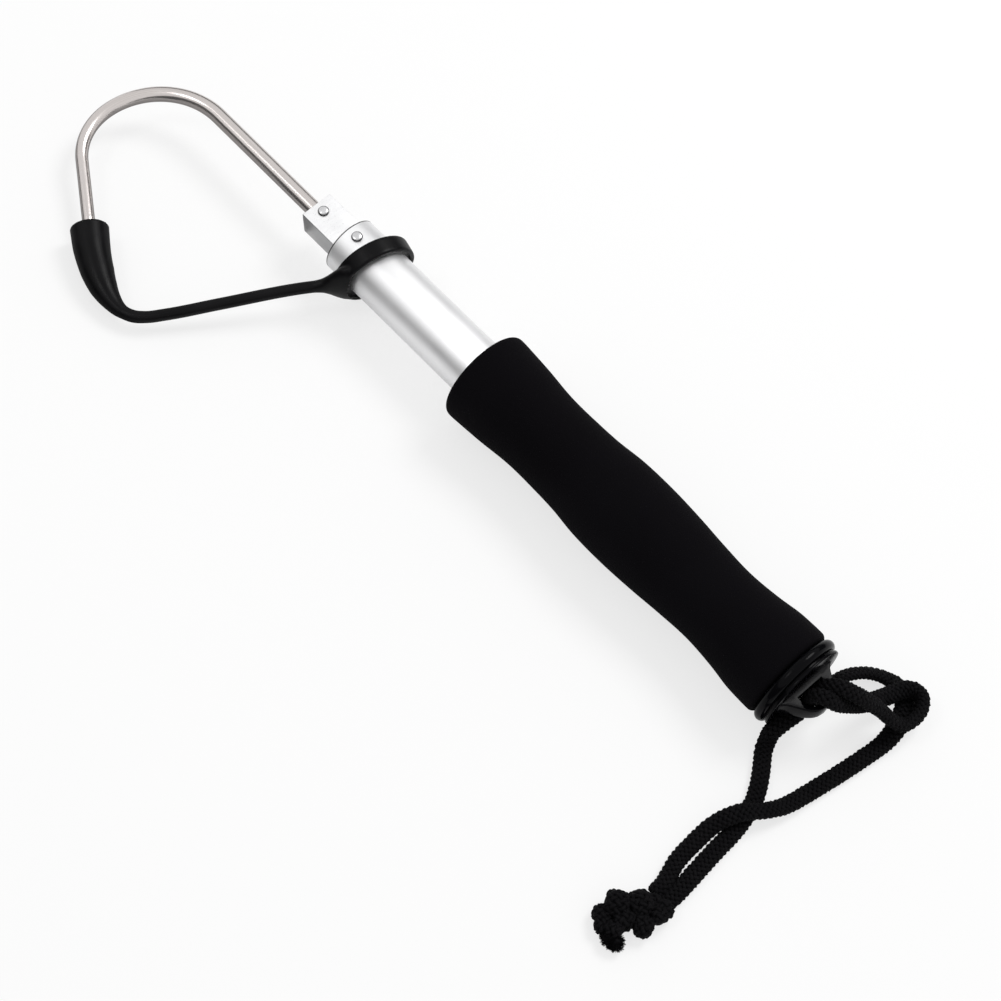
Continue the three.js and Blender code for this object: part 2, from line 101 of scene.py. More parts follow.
def add(tree, kind, inputs=None, **settings):
    node = tree.nodes.new(kind)
    for key, value in settings.items():
        setattr(node, key, value)
    fill(node, inputs or {})
    return node


def chained(tree, *nodes):
    """Each node's first output goes to the next node's first input."""
    for before, after in zip(nodes, nodes[1:]):
        tree.links.new(before.outputs[0], after.inputs[0])


def maths(tree, operation, *values):
    """The output of a number node, whose inputs are sockets or plain numbers."""
    return add(tree, "ShaderNodeMath", dict(enumerate(values)), operation=operation).outputs[0]


def shader_group(name, inputs, outputs):
    """A group that reads a place and some sizes and puts out masks or heights."""
    tree = bpy.data.node_groups.new(name, "ShaderNodeTree")
    tree.interface.new_socket("Vector", in_out="INPUT", socket_type="NodeSocketVector")
    for label, size in inputs.items():
        socket = tree.interface.new_socket(label, in_out="INPUT", socket_type="NodeSocketFloat")
        socket.default_value = size
    for label in outputs:
        tree.interface.new_socket(label, in_out="OUTPUT", socket_type="NodeSocketFloat")
    return tree, add(tree, "NodeGroupInput").outputs, add(tree, "NodeGroupOutput").inputs


def noise(tree, place, scale, detail=2.0, roughness=0.5):
    inputs = {"Vector": place, "Scale": scale, "Detail": detail, "Roughness": roughness}
    return add(tree, "ShaderNodeTexNoise", inputs).outputs["Fac"]


def ramp(tree, mask, low, high, dark=(0, 0, 0, 1), light=(1, 1, 1, 1)):
    node = add(tree, "ShaderNodeValToRGB", {"Fac": mask})
    for end, place, colour in zip(node.color_ramp.elements, (low, high), (dark, light)):
        end.position, end.color = place, colour
    return node.outputs["Color"]


def drawn_lines_group():
    """Fine lines left by drawing or brushing, along one axis of the given coordinates."""
    tree, given, out = shader_group("Drawn lines", {"Along": 3.0, "Across": 900.0, "Around": 900.0},
                                    ("Lines", "Streaks"))
    scale = add(tree, "ShaderNodeCombineXYZ",
                {"X": given["Along"], "Y": given["Across"], "Z": given["Around"]})
    stretch = add(tree, "ShaderNodeVectorMath", {0: given["Vector"], 1: scale.outputs[0]},
                  operation="MULTIPLY")
    for label, sizes in (("Lines", (1.0, 3.0, 0.6)), ("Streaks", (0.12, 1.0))):
        tree.links.new(noise(tree, stretch.outputs[0], *sizes), out[label])
    return tree


def handling_group():
    """Soft patches where the surface has been handled, and a few sparse specks."""
    tree, given, out = shader_group("Handling", {"Patch size": 60.0, "Speck size": 900.0},
                                    ("Patches", "Specks"))
    for label, size, detail, edge in (("Patches", "Patch size", (3.0, 0.55), (0.35, 0.7)),
                                      ("Specks", "Speck size", (1.0,), (0.68, 0.74))):
        spots = noise(tree, given["Vector"], given[size], *detail)
        tree.links.new(ramp(tree, spots, *edge), out[label])
    return tree


def grain_group():
    """Pebbled skin of moulded rubber and foam: cells under a fine noise."""
    tree, given, out = shader_group("Skin grain", {"Cell size": 900.0, "Cell share": 0.5}, ("Height",))
    cells = add(tree, "ShaderNodeTexVoronoi", {"Vector": given["Vector"], "Scale": given["Cell size"]})
    fine = noise(tree, given["Vector"], given["Cell size"], 4.0, 0.65)
    mixed = add(tree, "ShaderNodeMix", {0: given["Cell share"], 2: fine, 3: cells.outputs["Distance"]},
                data_type="FLOAT")
    tree.links.new(mixed.outputs[0], out["Height"])
    return tree


DRAWN, HANDLING, GRAIN = drawn_lines_group(), handling_group(), grain_group()


# Materials
class Finish:
    """A material under construction: its tree, its shader and its coordinates."""

    def __init__(self, name, color, roughness, metallic=0.0, **sockets):
        self.material = bpy.data.materials.new(name)
        self.material.use_nodes = True
        self.tree = self.material.node_tree
        self.shader = self.tree.nodes["Principled BSDF"]
        self.set(Base_Color=(*color, 1), Roughness=roughness, Metallic=metallic, **sockets)
        self.place = add(self.tree, "ShaderNodeTexCoord").outputs["Object"]

    def set(self, **inputs):
        fill(self.shader, inputs)

    def group(self, tree, **values):
        inputs = {"Vector": self.place, **values}
        return add(self.tree, "ShaderNodeGroup", inputs, node_tree=tree).outputs

    def turned_by(self, angle):
        """Coordinates turned about X, so that a pattern lies square to the rolled head."""
        turn = {"Vector": self.place, "Rotation": (-angle, 0, 0)}
        self.place = add(self.tree, "ShaderNodeMapping", turn).outputs[0]

    def roughened(self, mask, low, high):
        """The roughness between two values, as the mask runs from 0 to 1."""
        level = add(self.tree, "ShaderNodeMapRange", {"Value": mask, "To Min": low, "To Max": high})
        self.set(Roughness=level.outputs[0])

    def mark(self, name):
        """A number that the mesh holds at each point."""
        return add(self.tree, "ShaderNodeAttribute", attribute_name=name).outputs["Fac"]

    def tint(self, mask, low, high, start=0, end=1):
        """One colour up to the mask's start, the other from its end."""
        self.set(Base_Color=ramp(self.tree, mask, start, end, (*low, 1), (*high, 1)))

    def darkened_below(self, axis, level, reach, shade, share=1.0):
        """A darker colour where the place's axis falls below a level, full at reach further down."""
        split = add(self.tree, "ShaderNodeSeparateXYZ", {0: self.place})
        near = {"Value": split.outputs[axis], "From Min": level, "From Max": level - reach, "To Max": share}
        self.mixed_in(add(self.tree, "ShaderNodeMapRange", near).outputs[0], shade)

    def mixed_in(self, mask, shade):
        """Another colour over the one that is there, where the mask says."""
        colour = self.shader.inputs["Base Color"].links[0].from_socket
        mix = add(self.tree, "ShaderNodeMix", {"Factor": mask, "A": colour, "B": (*shade, 1)},
                  data_type="RGBA")
        self.set(Base_Color=mix.outputs["Result"])

    def bump(self, height, distance, strength=1.0, under=None):
        """Relief from a height, over another relief if there is one."""
        inputs = {"Height": height, "Distance": distance, "Strength": strength}
        if under is not None:
            inputs["Normal"] = under
        normal = add(self.tree, "ShaderNodeBump", inputs).outputs[0]
        self.set(Normal=normal)
        return normal


def tube_finish():
    f = Finish("satin tube", (0.9, 0.9, 0.905), 0.36, 1.0)
    lines, marks = f.group(DRAWN, Along=4, Across=1500, Around=1500), f.group(HANDLING, Patch_size=38)
    f.tint(lines["Streaks"], (0.87, 0.87, 0.878), (0.93, 0.93, 0.935))
    # painted shade: a dark line painted on the tube's front end where it butts against the head, standing in
    # for the shadow in the gap
    f.darkened_below("X", FRONT_X + 0.0007, 0.0003, (0.05, 0.048, 0.045))
    f.roughened(marks["Patches"], 0.44, 0.53)
    f.bump(lines["Lines"], 0.00002, 0.35)
    return f.material


def block_finish():
    f = Finish("milled block", (0.84, 0.84, 0.85), 0.34, 1.0)
    f.turned_by(HOOK_ROLL)
    lines = f.group(DRAWN, Along=1100, Across=260, Around=1300)
    marks = f.group(HANDLING, Patch_size=120, Speck_size=2600)
    f.tint(lines["Lines"], (0.86, 0.86, 0.87), (0.98, 0.98, 0.985))
    # painted shade: the sawn side under the hook's bow faces away from the key lamp and is painted darker
    # than the milled top
    across = Vector((0, AXIS_Y, AXIS_Z)).dot(Vector((0, math.cos(HOOK_ROLL), math.sin(HOOK_ROLL))))
    f.darkened_below("Y", across - BLOCK_WIDTH / 2 + 0.0004, 0.0002, (0.34, 0.34, 0.345), 0.75)
    f.mixed_in(marks["Specks"], (0.6, 0.6, 0.61))
    f.roughened(marks["Patches"], 0.3, 0.42)
    f.bump(lines["Lines"], 0.00005, 0.6)
    return f.material


def steel_finish():
    f = Finish("drawn steel", (0.7, 0.672, 0.655), 0.24, 1.0)
    f.place = add(f.tree, "ShaderNodeTexCoord").outputs["UV"]
    lines = f.group(DRAWN, Along=14, Across=150, Around=1)
    f.place = add(f.tree, "ShaderNodeTexCoord").outputs["Object"]
    marks = f.group(HANDLING, Patch_size=45)
    f.tint(lines["Lines"], (0.36, 0.325, 0.31), (0.93, 0.88, 0.86))
    f.roughened(marks["Patches"], 0.18, 0.25)
    f.bump(lines["Lines"], 0.000005, 0.15)
    return f.material


def rivet_finish():
    f = Finish("set rivet", (0.62, 0.62, 0.63), 0.24, 1.0)
    marks = f.group(HANDLING, Patch_size=500, Speck_size=2500)
    # painted shade: a dark ring painted where the dome's rim meets the face, standing in for its contact
    # shadow
    f.tint(f.mark("rim"), (0.66, 0.66, 0.67), (0.05, 0.05, 0.052), 0.7, 0.97)
    f.roughened(marks["Patches"], 0.2, 0.36)
    f.bump(marks["Patches"], 0.00004, 0.5)
    return f.material


def rubber_finish():
    f = Finish("moulded rubber", (0.0035, 0.0034, 0.004), 0.36, Specular_IOR_Level=0.1)
    marks, grain = f.group(HANDLING, Patch_size=70), f.group(GRAIN, Cell_size=1500, Cell_share=0.25)
    f.tint(marks["Patches"], (0.0026, 0.0025, 0.003), (0.0048, 0.0046, 0.0053))
    f.roughened(marks["Patches"], 0.3, 0.42)
    f.bump(grain["Height"], 0.00006, 0.35)
    return f.material


def foam_finish():
    f = Finish("closed foam", (0.003, 0.0026, 0.0035), 0.93, Specular_IOR_Level=0.05)
    marks = f.group(HANDLING, Patch_size=26, Speck_size=700)
    cells = f.group(GRAIN, Cell_size=1700, Cell_share=0.6)
    pits = f.group(GRAIN, Cell_size=420, Cell_share=0.3)
    f.tint(marks["Patches"], (0.0024, 0.002, 0.0028), (0.0038, 0.0034, 0.0044))
    f.roughened(marks["Patches"], 0.88, 0.98)
    broad = f.bump(pits["Height"], 0.00025, 0.35)
    f.bump(cells["Height"], 0.00018, 0.7, broad)
    return f.material


def cap_finish():
    f = Finish("gloss cap", (0.0022, 0.0021, 0.0028), 0.15, Specular_IOR_Level=0.055)
    marks, grain = f.group(HANDLING, Patch_size=90), f.group(GRAIN, Cell_size=500, Cell_share=0.1)
    f.roughened(marks["Patches"], 0.11, 0.2)
    f.bump(grain["Height"], 0.00008, 0.1)
    return f.material


def lock_finish():
    f = Finish("lock plastic", (0.045, 0.046, 0.05), 0.5)
    marks = f.group(HANDLING, Patch_size=150)
    f.roughened(marks["Patches"], 0.42, 0.58)
    return f.material


def brass_finish():
    f = Finish("lock brass", (0.62, 0.43, 0.18), 0.3, 1.0)
    lines, marks = f.group(DRAWN, Along=1600, Across=60, Around=60), f.group(HANDLING, Patch_size=200)
    f.tint(marks["Patches"], (0.56, 0.38, 0.15), (0.68, 0.48, 0.22))
    f.bump(lines["Lines"], 0.00003, 0.4)
    return f.material


FILAMENTS = 6  # ridges round one strand
FILAMENT_TURNS = 420.0  # turns in a metre of strand


def braid_finish():
    """Twisted filaments along each strand, from the strand's own length and turn."""
    f = Finish("black braid", (0.0028, 0.0025, 0.0032), 0.7, Specular_IOR_Level=0.08)
    lay = maths(f.tree, "MULTIPLY_ADD", f.mark("along"), FILAMENT_TURNS, f.mark("around"))
    ridge = maths(f.tree, "SINE", maths(f.tree, "MULTIPLY", lay, FILAMENTS * 2 * math.pi))
    marks = f.group(HANDLING, Patch_size=160)
    f.tint(marks["Patches"], (0.002, 0.0018, 0.0024), (0.004, 0.0037, 0.0044))
    f.bump(ridge, 0.00005, 0.5)
    return f.material


FINISHES = {
    "tube_aluminium": tube_finish(), "block_aluminium": block_finish(), "hook_steel": steel_finish(),
    "rivet_aluminium": rivet_finish(), "guard_rubber": rubber_finish(), "grip_foam": foam_finish(),
    "cap_plastic": cap_finish(), "lock_plastic": lock_finish(), "lock_brass": brass_finish(),
    "cord_braid": braid_finish(),
}


# Making and placing pieces
TOUCHING = 1e-7  # points closer than this are one


def mesh_object(name, points, faces, edges=()):
    mesh = bpy.data.meshes.new(name)
    mesh.from_pydata([tuple(p) for p in points], list(edges), list(faces))
    piece = bpy.data.objects.new(name, mesh)
    bpy.context.collection.objects.link(piece)
    return piece


def face_outwards(piece):
    """Doubled points become one, and every face is turned outwards."""
    shape = bmesh.new()
    shape.from_mesh(piece.data)
    bmesh.ops.remove_doubles(shape, verts=shape.verts, dist=TOUCHING)
    bmesh.ops.recalc_face_normals(shape, faces=shape.faces)
    shape.to_mesh(piece.data)
    shape.free()


def settled(piece):
    """The piece's modifiers become its mesh."""
    bpy.context.view_layer.update()
    seen = piece.evaluated_get(bpy.context.evaluated_depsgraph_get())
    mesh = bpy.data.meshes.new_from_object(seen)
    piece.modifiers.clear()
    piece.data = mesh


def smooth(piece, sharp_from=35):
    piece.data.shade_smooth()
    piece.data.set_sharp_from_angle(angle=math.radians(sharp_from))


def placed(piece, node, body, slot):
    """The finished piece stands for its CAD node, rides on its body and takes its slot's finish."""
    piece.data.materials.clear()
    piece.data.materials.append(FINISHES[slot])
    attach(piece, body)
    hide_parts(node)
    return piece


def combined(name, *pieces):
    """Several pieces' meshes in one piece, with the first one's attributes kept."""
    with bpy.context.temp_override(active_object=pieces[0], selected_editable_objects=list(pieces)):
        bpy.ops.object.join()
    pieces[0].name = name
    return pieces[0]


def carved(piece, tool, operation):
    change = piece.modifiers.new("cut", "BOOLEAN")
    change.operation = operation
    change.solver = "EXACT"
    change.object = tool
    settled(piece)
    bpy.data.objects.remove(tool)


def turns_round(sides):
    return np.arange(sides) / sides * 2 * math.pi


def unit(rows):
    return rows / np.linalg.norm(rows, axis=1)[:, None]


def run_along(points):
    """The length from the first point to each point."""
    return np.concatenate([[0], np.cumsum(np.linalg.norm(np.diff(points, axis=0), axis=1))])


def curve_weights(t):
    """Weights of a curve's start, its way out, its end and its way in."""
    return 2 * t**3 - 3 * t**2 + 1, t**3 - 2 * t**2 + t, 3 * t**2 - 2 * t**3, t**3 - t**2


def lofted(name, points, sides):
    """A skin over rings of points, with flat ends; its faces still have to be turned outwards."""
    last = len(points) - sides
    faces = [(i + j, i + (j + 1) % sides, i + sides + (j + 1) % sides, i + sides + j)
             for i in range(0, last, sides) for j in range(sides)]
    return mesh_object(name, points, faces + [tuple(range(sides)), tuple(range(last, last + sides))])


def swept_flat(name, line, widths, heights, sides=28):
    """An oval bar along a line in the XY plane, from its half widths and half heights."""
    ahead = unit(np.gradient(line, axis=0))
    points = [(x - dy * w * math.cos(turn), y + dx * w * math.cos(turn), h * math.sin(turn))
              for (x, y), (dx, dy), w, h in zip(line, ahead, widths, heights) for turn in turns_round(sides)]
    return lofted(name, points, sides)


def flat_plate(name, outline, low, high):
    """A closed plate with the given outline between two levels."""
    n = len(outline)
    points = [(x, y, low) for x, y in outline] + [(x, y, high) for x, y in outline]
    faces = [tuple(reversed(range(n))), tuple(range(n, 2 * n))]
    faces += [(i, (i + 1) % n, n + (i + 1) % n, n + i) for i in range(n)]
    piece = mesh_object(name, points, faces)
    face_outwards(piece)
    return piece


def filleted(points, radius, steps=3, most=0.45):
    """A polyline with each inner corner rounded, over at most a share of the legs beside it."""
    done = [np.array(points[0], float)]
    for before, here, after in zip(points, points[1:], points[2:]):
        here = np.array(here, float)
        back, on = np.array(before) - here, np.array(after) - here
        reach = min(radius, most * np.linalg.norm(back), most * np.linalg.norm(on))
        start = here + back / np.linalg.norm(back) * reach
        end = here + on / np.linalg.norm(on) * reach
        for share in np.linspace(0, 1, steps + 1):
            done.append((1 - share) ** 2 * start + 2 * share * (1 - share) * here + share ** 2 * end)
    return done + [np.array(points[-1], float)]


def turned(name, profile, sides=128, place=POLE):
    """A body turned about an axis, from (station, radius) points that close on the axis or on themselves."""
    rings, points, faces = [], [], []
    for station, radius in profile:
        if radius < TOUCHING:
            rings.append([len(points)] * sides)
            points.append((station, 0, 0))
            continue
        rings.append(list(range(len(points), len(points) + sides)))
        points += [(station, radius * math.cos(turn), radius * math.sin(turn)) for turn in turns_round(sides)]
    for first, second in zip(rings, rings[1:]):
        for i in range(sides):
            corners = [first[i], first[i - 1], second[i - 1], second[i]]
            faces.append(list(dict.fromkeys(corners)))
    piece = mesh_object(name, points, faces)
    face_outwards(piece)
    piece.data.transform(place)
    return piece


def smooth_curve(points, share):
    """A natural curve through 2D points, at shares of its chord length."""
    points = np.array(points, float)
    steps = run_along(points)
    slopes = np.gradient(points, steps, axis=0)
    at = np.asarray(share) * steps[-1]
    i = np.clip(np.searchsorted(steps, at, "right") - 1, 0, len(points) - 2)
    width = (steps[i + 1] - steps[i])[:, None]
    start, leave, end, arrive = curve_weights((at - steps[i])[:, None] / width)
    return (start * points[i] + leave * width * slopes[i]
            + end * points[i + 1] + arrive * width * slopes[i + 1])


# Lanyard
BRAID_WIDTH = 0.0075
BRAID_THICKNESS = 0.0044
STRANDS_EACH_WAY = 6
PLAIT_STEP = 0.0022  # along the cord, between two crossings at an edge
STRAND_RADIUS = 0.00084
FLOOR_GAP = 0.0001
CROSSING_LIFT = 0.00045
LINE_STEP = 0.0003  # between a cord line's points
ABOVE_FLOOR = 1.02  # a strand's lowest middle, in its radii
# The routes of the CAD cords, from the knot up into the eye, and from the eye back to the knot
ROUTE_SHIFT = Vector((FRONT_X, AXIS_Y, 0))
LEAD_ROUTE = [
    (0.281, -0.093, 0.0026), (0.281, -0.088, 0.0026), (0.2803, -0.08, 0.0026), (0.2795, -0.072, 0.0026),
    (0.2787, -0.063, 0.0026), (0.2782, -0.055, 0.0026), (0.2771, -0.0474, 0.0026), (0.2749, -0.0392, 0.0026),
    (0.2709, -0.0316, 0.0026), (0.2666, -0.0256, 0.0026), (0.2632, -0.0212, 0.0027), (0.2615, -0.018, 0.004),
    (0.2605, -0.0156, 0.0078), (0.261, -0.0114, 0.0112), (0.2624, -0.0052, 0.014), (0.2629, -0.0029, 0.0176),
    (0.2629, -0.0029, 0.02135),
]
LOOP_ROUTE = [
    (0.2629, -0.0029, 0.02165), (0.2629, -0.0029, 0.0256), (0.2646, -0.0028, 0.0296),
    (0.2679, -0.0016, 0.0308), (0.2712, 0.0016, 0.0278), (0.274, 0.0082, 0.0222), (0.2766, 0.0174, 0.0148),
    (0.2794, 0.0292, 0.0094), (0.2812, 0.036, 0.0082), (0.2838, 0.0402, 0.0081), (0.288, 0.041, 0.0079),
    (0.2913, 0.0378, 0.0078), (0.2928, 0.032, 0.0079), (0.2914, 0.0254, 0.0088), (0.287, 0.0216, 0.0124),
    (0.282, 0.018, 0.0182), (0.2784, 0.0138, 0.0238), (0.274, 0.0092, 0.0292), (0.2678, 0.0052, 0.0314),
    (0.2637, 0.003, 0.0278), (0.2629, 0.0028, 0.0216), (0.2627, 0.003, 0.0156), (0.2622, 0.0115, 0.0102),
    (0.2626, 0.022, 0.0084), (0.2662, 0.0316, 0.0056), (0.2722, 0.038, 0.0032), (0.2784, 0.0401, 0.0026),
    (0.2844, 0.0384, 0.0026), (0.2882, 0.032, 0.0026), (0.2909, 0.02, 0.0026), (0.29, 0.007, 0.0026),
    (0.2859, -0.02, 0.0026), (0.2836, -0.032, 0.004), (0.28, -0.041, 0.007), (0.2752, -0.0484, 0.008),
    (0.2718, -0.0574, 0.0052), (0.2714, -0.067, 0.0028), (0.2724, -0.078, 0.0026),
    (0.2753, -0.0884, 0.0026), (0.2753, -0.093, 0.0026),
]
# Which way the braid's width lies: (point of the route, direction)
LEAD_LIE = [(0, (1, 0, 0)), (16, (1, 0, 0))]
LOOP_LIE = [
    (0, (0, 1, 0)), (3, (-0.3, 1, 0)), (5, (-0.8, 0.45, 0.3)), (8, (-0.8, 0.3, 0.5)), (9, (-0.2, 0.2, 1)),
    (10, (0.1, 0, 1)), (12, (0.1, 0.1, 1)), (13, (0.4, -0.3, 0.8)), (15, (0.7, -0.5, 0.3)),
    (18, (0.4, -0.9, 0)), (20, (0, -1, 0)), (22, (0.6, 0, 0.8)), (24, (0.6, -0.3, 0.75)),
    (26, (0.3, -0.9, 0.3)), (28, (-0.9, -0.3, 0)), (39, (-1, 0, 0)),
]
# How the braid bunches: (point of the route, share of its width, share of its thickness)
LEAD_BUNCH = [(0, 0.92, 1), (2, 1.06, 1), (10, 1, 1), (13, 1.1, 1.2), (15, 0.78, 1.35), (16, 0.78, 1.5)]
LOOP_BUNCH = [
    (0, 0.78, 1.5), (2, 0.9, 1.35), (5, 0.98, 1.2), (8, 1.1, 1.5), (12, 1, 1.4), (14, 1.4, 1.5),
    (16, 1.15, 1.35), (19, 0.82, 1.3), (21, 0.78, 1.5), (23, 1.02, 1.15), (25, 1.1, 1.1), (26.5, 1.36, 1.1),
    (28, 1.34, 1.1), (29.5, 1.02, 1.1), (33, 0.96, 1.1), (36, 1, 1), (39, 0.9, 1),
]


def along_route(route, spacing):
    """Points evenly along a centripetal curve through the route, and each one's place in the list."""
    points = np.array(route, float)
    ends = np.vstack([2 * points[0] - points[1], points, 2 * points[-1] - points[-2]])
    dense, index = [], []
    for i in range(len(points) - 1):
        a, b, c, d = ends[i : i + 4]
        gaps = [max(np.linalg.norm(q - p), 1e-9) ** 0.5 for p, q in ((a, b), (b, c), (c, d))]
        out = ((b - a) / gaps[0] - (c - a) / (gaps[0] + gaps[1]) + (c - b) / gaps[1]) * gaps[1]
        into = ((c - b) / gaps[1] - (d - b) / (gaps[1] + gaps[2]) + (d - c) / gaps[2]) * gaps[1]
        for t in np.linspace(0, 1, 40, endpoint=i == len(points) - 2):
            start, leave, end, arrive = curve_weights(t)
            dense.append(start * b + leave * out + end * c + arrive * into)
            index.append(i + t)
    dense = np.array(dense)
    run = run_along(dense)
    at = np.linspace(0, run[-1], int(run[-1] / spacing) + 1)
    line = np.stack([np.interp(at, run, dense[:, k]) for k in range(3)], axis=1)
    return line, np.interp(at, run, index), at


def band_frame(line, index, lie):
    """The directions of the braid's width and thickness along its line."""
    ahead = unit(np.gradient(line, axis=0))
    marks = [mark for mark, _ in lie]
    wanted = np.stack([np.interp(index, marks, [way[k] for _, way in lie]) for k in range(3)], axis=1)
    across = unit(wanted - (wanted * ahead).sum(1)[:, None] * ahead)
    return across, np.cross(ahead, across)


def shape_tree(name, **inputs):
    """A geometry tree with named inputs: the tree, its inputs and the node that paints what it makes."""
    tree = bpy.data.node_groups.new(name, "GeometryNodeTree")
    sockets = [("Geometry", "Geometry"), *inputs.items(), ("Finish", "Material")]
    for label, kind in sockets:
        tree.interface.new_socket(label.replace("_", " "), in_out="INPUT", socket_type="NodeSocket" + kind)
    tree.interface.new_socket("Geometry", in_out="OUTPUT", socket_type="NodeSocketGeometry")
    given, painted = add(tree, "NodeGroupInput").outputs, add(tree, "GeometryNodeSetMaterial")
    tree.links.new(given["Finish"], painted.inputs["Material"])
    chained(tree, painted, add(tree, "NodeGroupOutput"))
    return tree, given, painted


def strand_tree():
    """Round strands along the edges of a mesh, with their length and turn kept for the finish."""
    tree, given, painted = shape_tree("Braid strands", Strand_radius="Float", Sides="Int")
    place = add(tree, "GeometryNodeSplineParameter").outputs
    curves = add(tree, "GeometryNodeMeshToCurve", {0: given["Geometry"]})
    circle = add(tree, "GeometryNodeCurvePrimitiveCircle",
                 {"Resolution": given["Sides"], "Radius": given["Strand radius"]})
    along, around = (add(tree, "GeometryNodeStoreNamedAttribute", {"Name": name, "Value": place[measure]},
                         data_type="FLOAT", domain="POINT")
                     for name, measure in (("along", "Length"), ("around", "Factor")))
    chained(tree, circle, around)
    tube = add(tree, "GeometryNodeCurveToMesh", {"Profile Curve": around.outputs[0], "Fill Caps": True})
    chained(tree, curves, along, tube, add(tree, "GeometryNodeSetShadeSmooth"),
            add(tree, "GeometryNodeRealizeInstances"), painted)
    return tree


STRANDS = strand_tree()


def with_tree(piece, tree, **values):
    """The piece after a geometry tree, whose inputs are set by their names."""
    change = piece.modifiers.new(tree.name, "NODES")
    change.node_group = tree
    for socket in tree.interface.items_tree:
        label = socket.name.replace(" ", "_")
        if socket.item_type == "SOCKET" and socket.in_out == "INPUT" and label in values:
            change[socket.identifier] = values[label]
    settled(piece)


def braided(name, line, across, over, widths, depths, run):
    """A flat maypole braid along a line: strands that go round its section both ways, over a core."""
    turn = run / (PLAIT_STEP * STRANDS_EACH_WAY) * 2 * math.pi
    half_width = (BRAID_WIDTH / 2 - STRAND_RADIUS - CROSSING_LIFT) * widths
    half_depth = (BRAID_THICKNESS / 2 - STRAND_RADIUS - CROSSING_LIFT / 2) * depths
    strands, edges = [], []
    for way in (1, -1):
        lift = way * CROSSING_LIFT * np.cos(STRANDS_EACH_WAY * turn)
        for k in range(STRANDS_EACH_WAY):
            angle = 2 * math.pi * k / STRANDS_EACH_WAY + way * turn
            out = (half_width + lift) * np.cos(angle)
            up = (half_depth + lift) * np.sin(angle)
            first = len(strands) * len(line)
            strands.append(line + across * out[:, None] + over * up[:, None])
            edges += [(first + i, first + i + 1) for i in range(len(line) - 1)]
    points = np.vstack(strands)
    points[:, 2] = np.maximum(points[:, 2], STRAND_RADIUS * ABOVE_FLOOR)
    cover = mesh_object(name, points, [], edges)
    with_tree(cover, STRANDS, Strand_radius=STRAND_RADIUS, Sides=5, Finish=FINISHES["cord_braid"])
    # the core is smooth, so it has fewer rings than a strand has points
    sparse = slice(None, None, 5)
    return combined(name, cover, core(name + " core", line[sparse], across[sparse], over[sparse],
                                      half_width[sparse], half_depth[sparse]))


def core(name, line, across, over, half_width, half_depth, sides=12):
    """A plain filling that closes the gaps between the strands."""
    points = [p + a * w * math.cos(turn) + o * d * math.sin(turn)
              for p, a, o, w, d in zip(line, across, over, half_width, half_depth)
              for turn in turns_round(sides)]
    piece = lofted(name, points, sides)
    face_outwards(piece)
    return piece


def make_cord(name, node, route, lie, bunch):
    """A braided cord on its route: the piece, every fourth point of its line, and its length."""
    line, index, run = along_route([Vector(p) + ROUTE_SHIFT for p in route], LINE_STEP)
    across, over = band_frame(line, index, lie)
    marks, wide, thick = zip(*bunch)
    piece = braided(name, line, across, over, np.interp(index, marks, wide),
                    np.interp(index, marks, thick), run)
    placed(piece, node, "handle", "cord_braid")
    return piece, line[::4], run[-1]


# Knot
KNOT = ROUTE_SHIFT + Vector((0.27815, -0.093, 0))
WRAP_REACH = 0.62 * math.pi  # how far a wrap runs round its lobe, to each side of the top
WRAP_LOWEST = 0.0017
WRAP_DEPTH = 0.7  # share of the braid's thickness
WRAP_FULLNESS = 0.94  # share of the lobe's width
WRAP_TAPER = 1.2  # angle of the cosine at a wrap's ends
FILLING_SHARE = 0.9
STUB_RADIUS, STUB_SQUASH = 0.0027, 0.95
TUFT_RADIUS, TUFT_SQUASH = 0.0024, 0.9
FRAY_SHORTEST = 0.45  # share of the longest filament's length
FRAY_DRIFT = 420.0  # how closely the filaments' bends change from place to place
FRAY = {"Filaments_per_area": 9e6, "Length": 0.0016, "Spread": 0.0022, "Filament_radius": 0.00011}
# Lobes of the knot, each a wrap of cord over a filling: middle, radius, the way the wrap runs
KNOT_LOBES = [
    ((-0.00835, -0.0146, 0.0056), 0.0050, (0.62, -0.78, 0)),
    ((-0.0030, -0.0082, 0.0055), 0.0049, (0.94, -0.34, 0)),
    ((-0.0030, -0.0162, 0.0044), 0.0044, (0.85, -0.5, 0)),
    ((0.0036, -0.0124, 0.0041), 0.0042, (-0.5, 0.86, 0)),
    ((0.0042, -0.0057, 0.0040), 0.0038, (0.55, 0.83, 0)),
    ((-0.0003, -0.0114, 0.0042), 0.0040, (0.2, 0.98, 0)),
    ((-0.0091, -0.0204, 0.0037), 0.0038, (0.8, 0.6, 0)),
    ((-0.0024, -0.0215, 0.0038), 0.0038, (0.3, -0.95, 0)),
    ((-0.0002, -0.0035, 0.0036), 0.0036, (1, 0.1, 0)), ((-0.0066, -0.0232, 0.0035), 0.0034, (0.6, -0.8, 0)),
    ((0.0041, -0.0025, 0.0038), 0.0038, (0.75, 0.66, 0)),
]
TAIL_ENDS = [(-0.0014, -0.0244, 0.0034), (0.0010, -0.0240, 0.0031)]


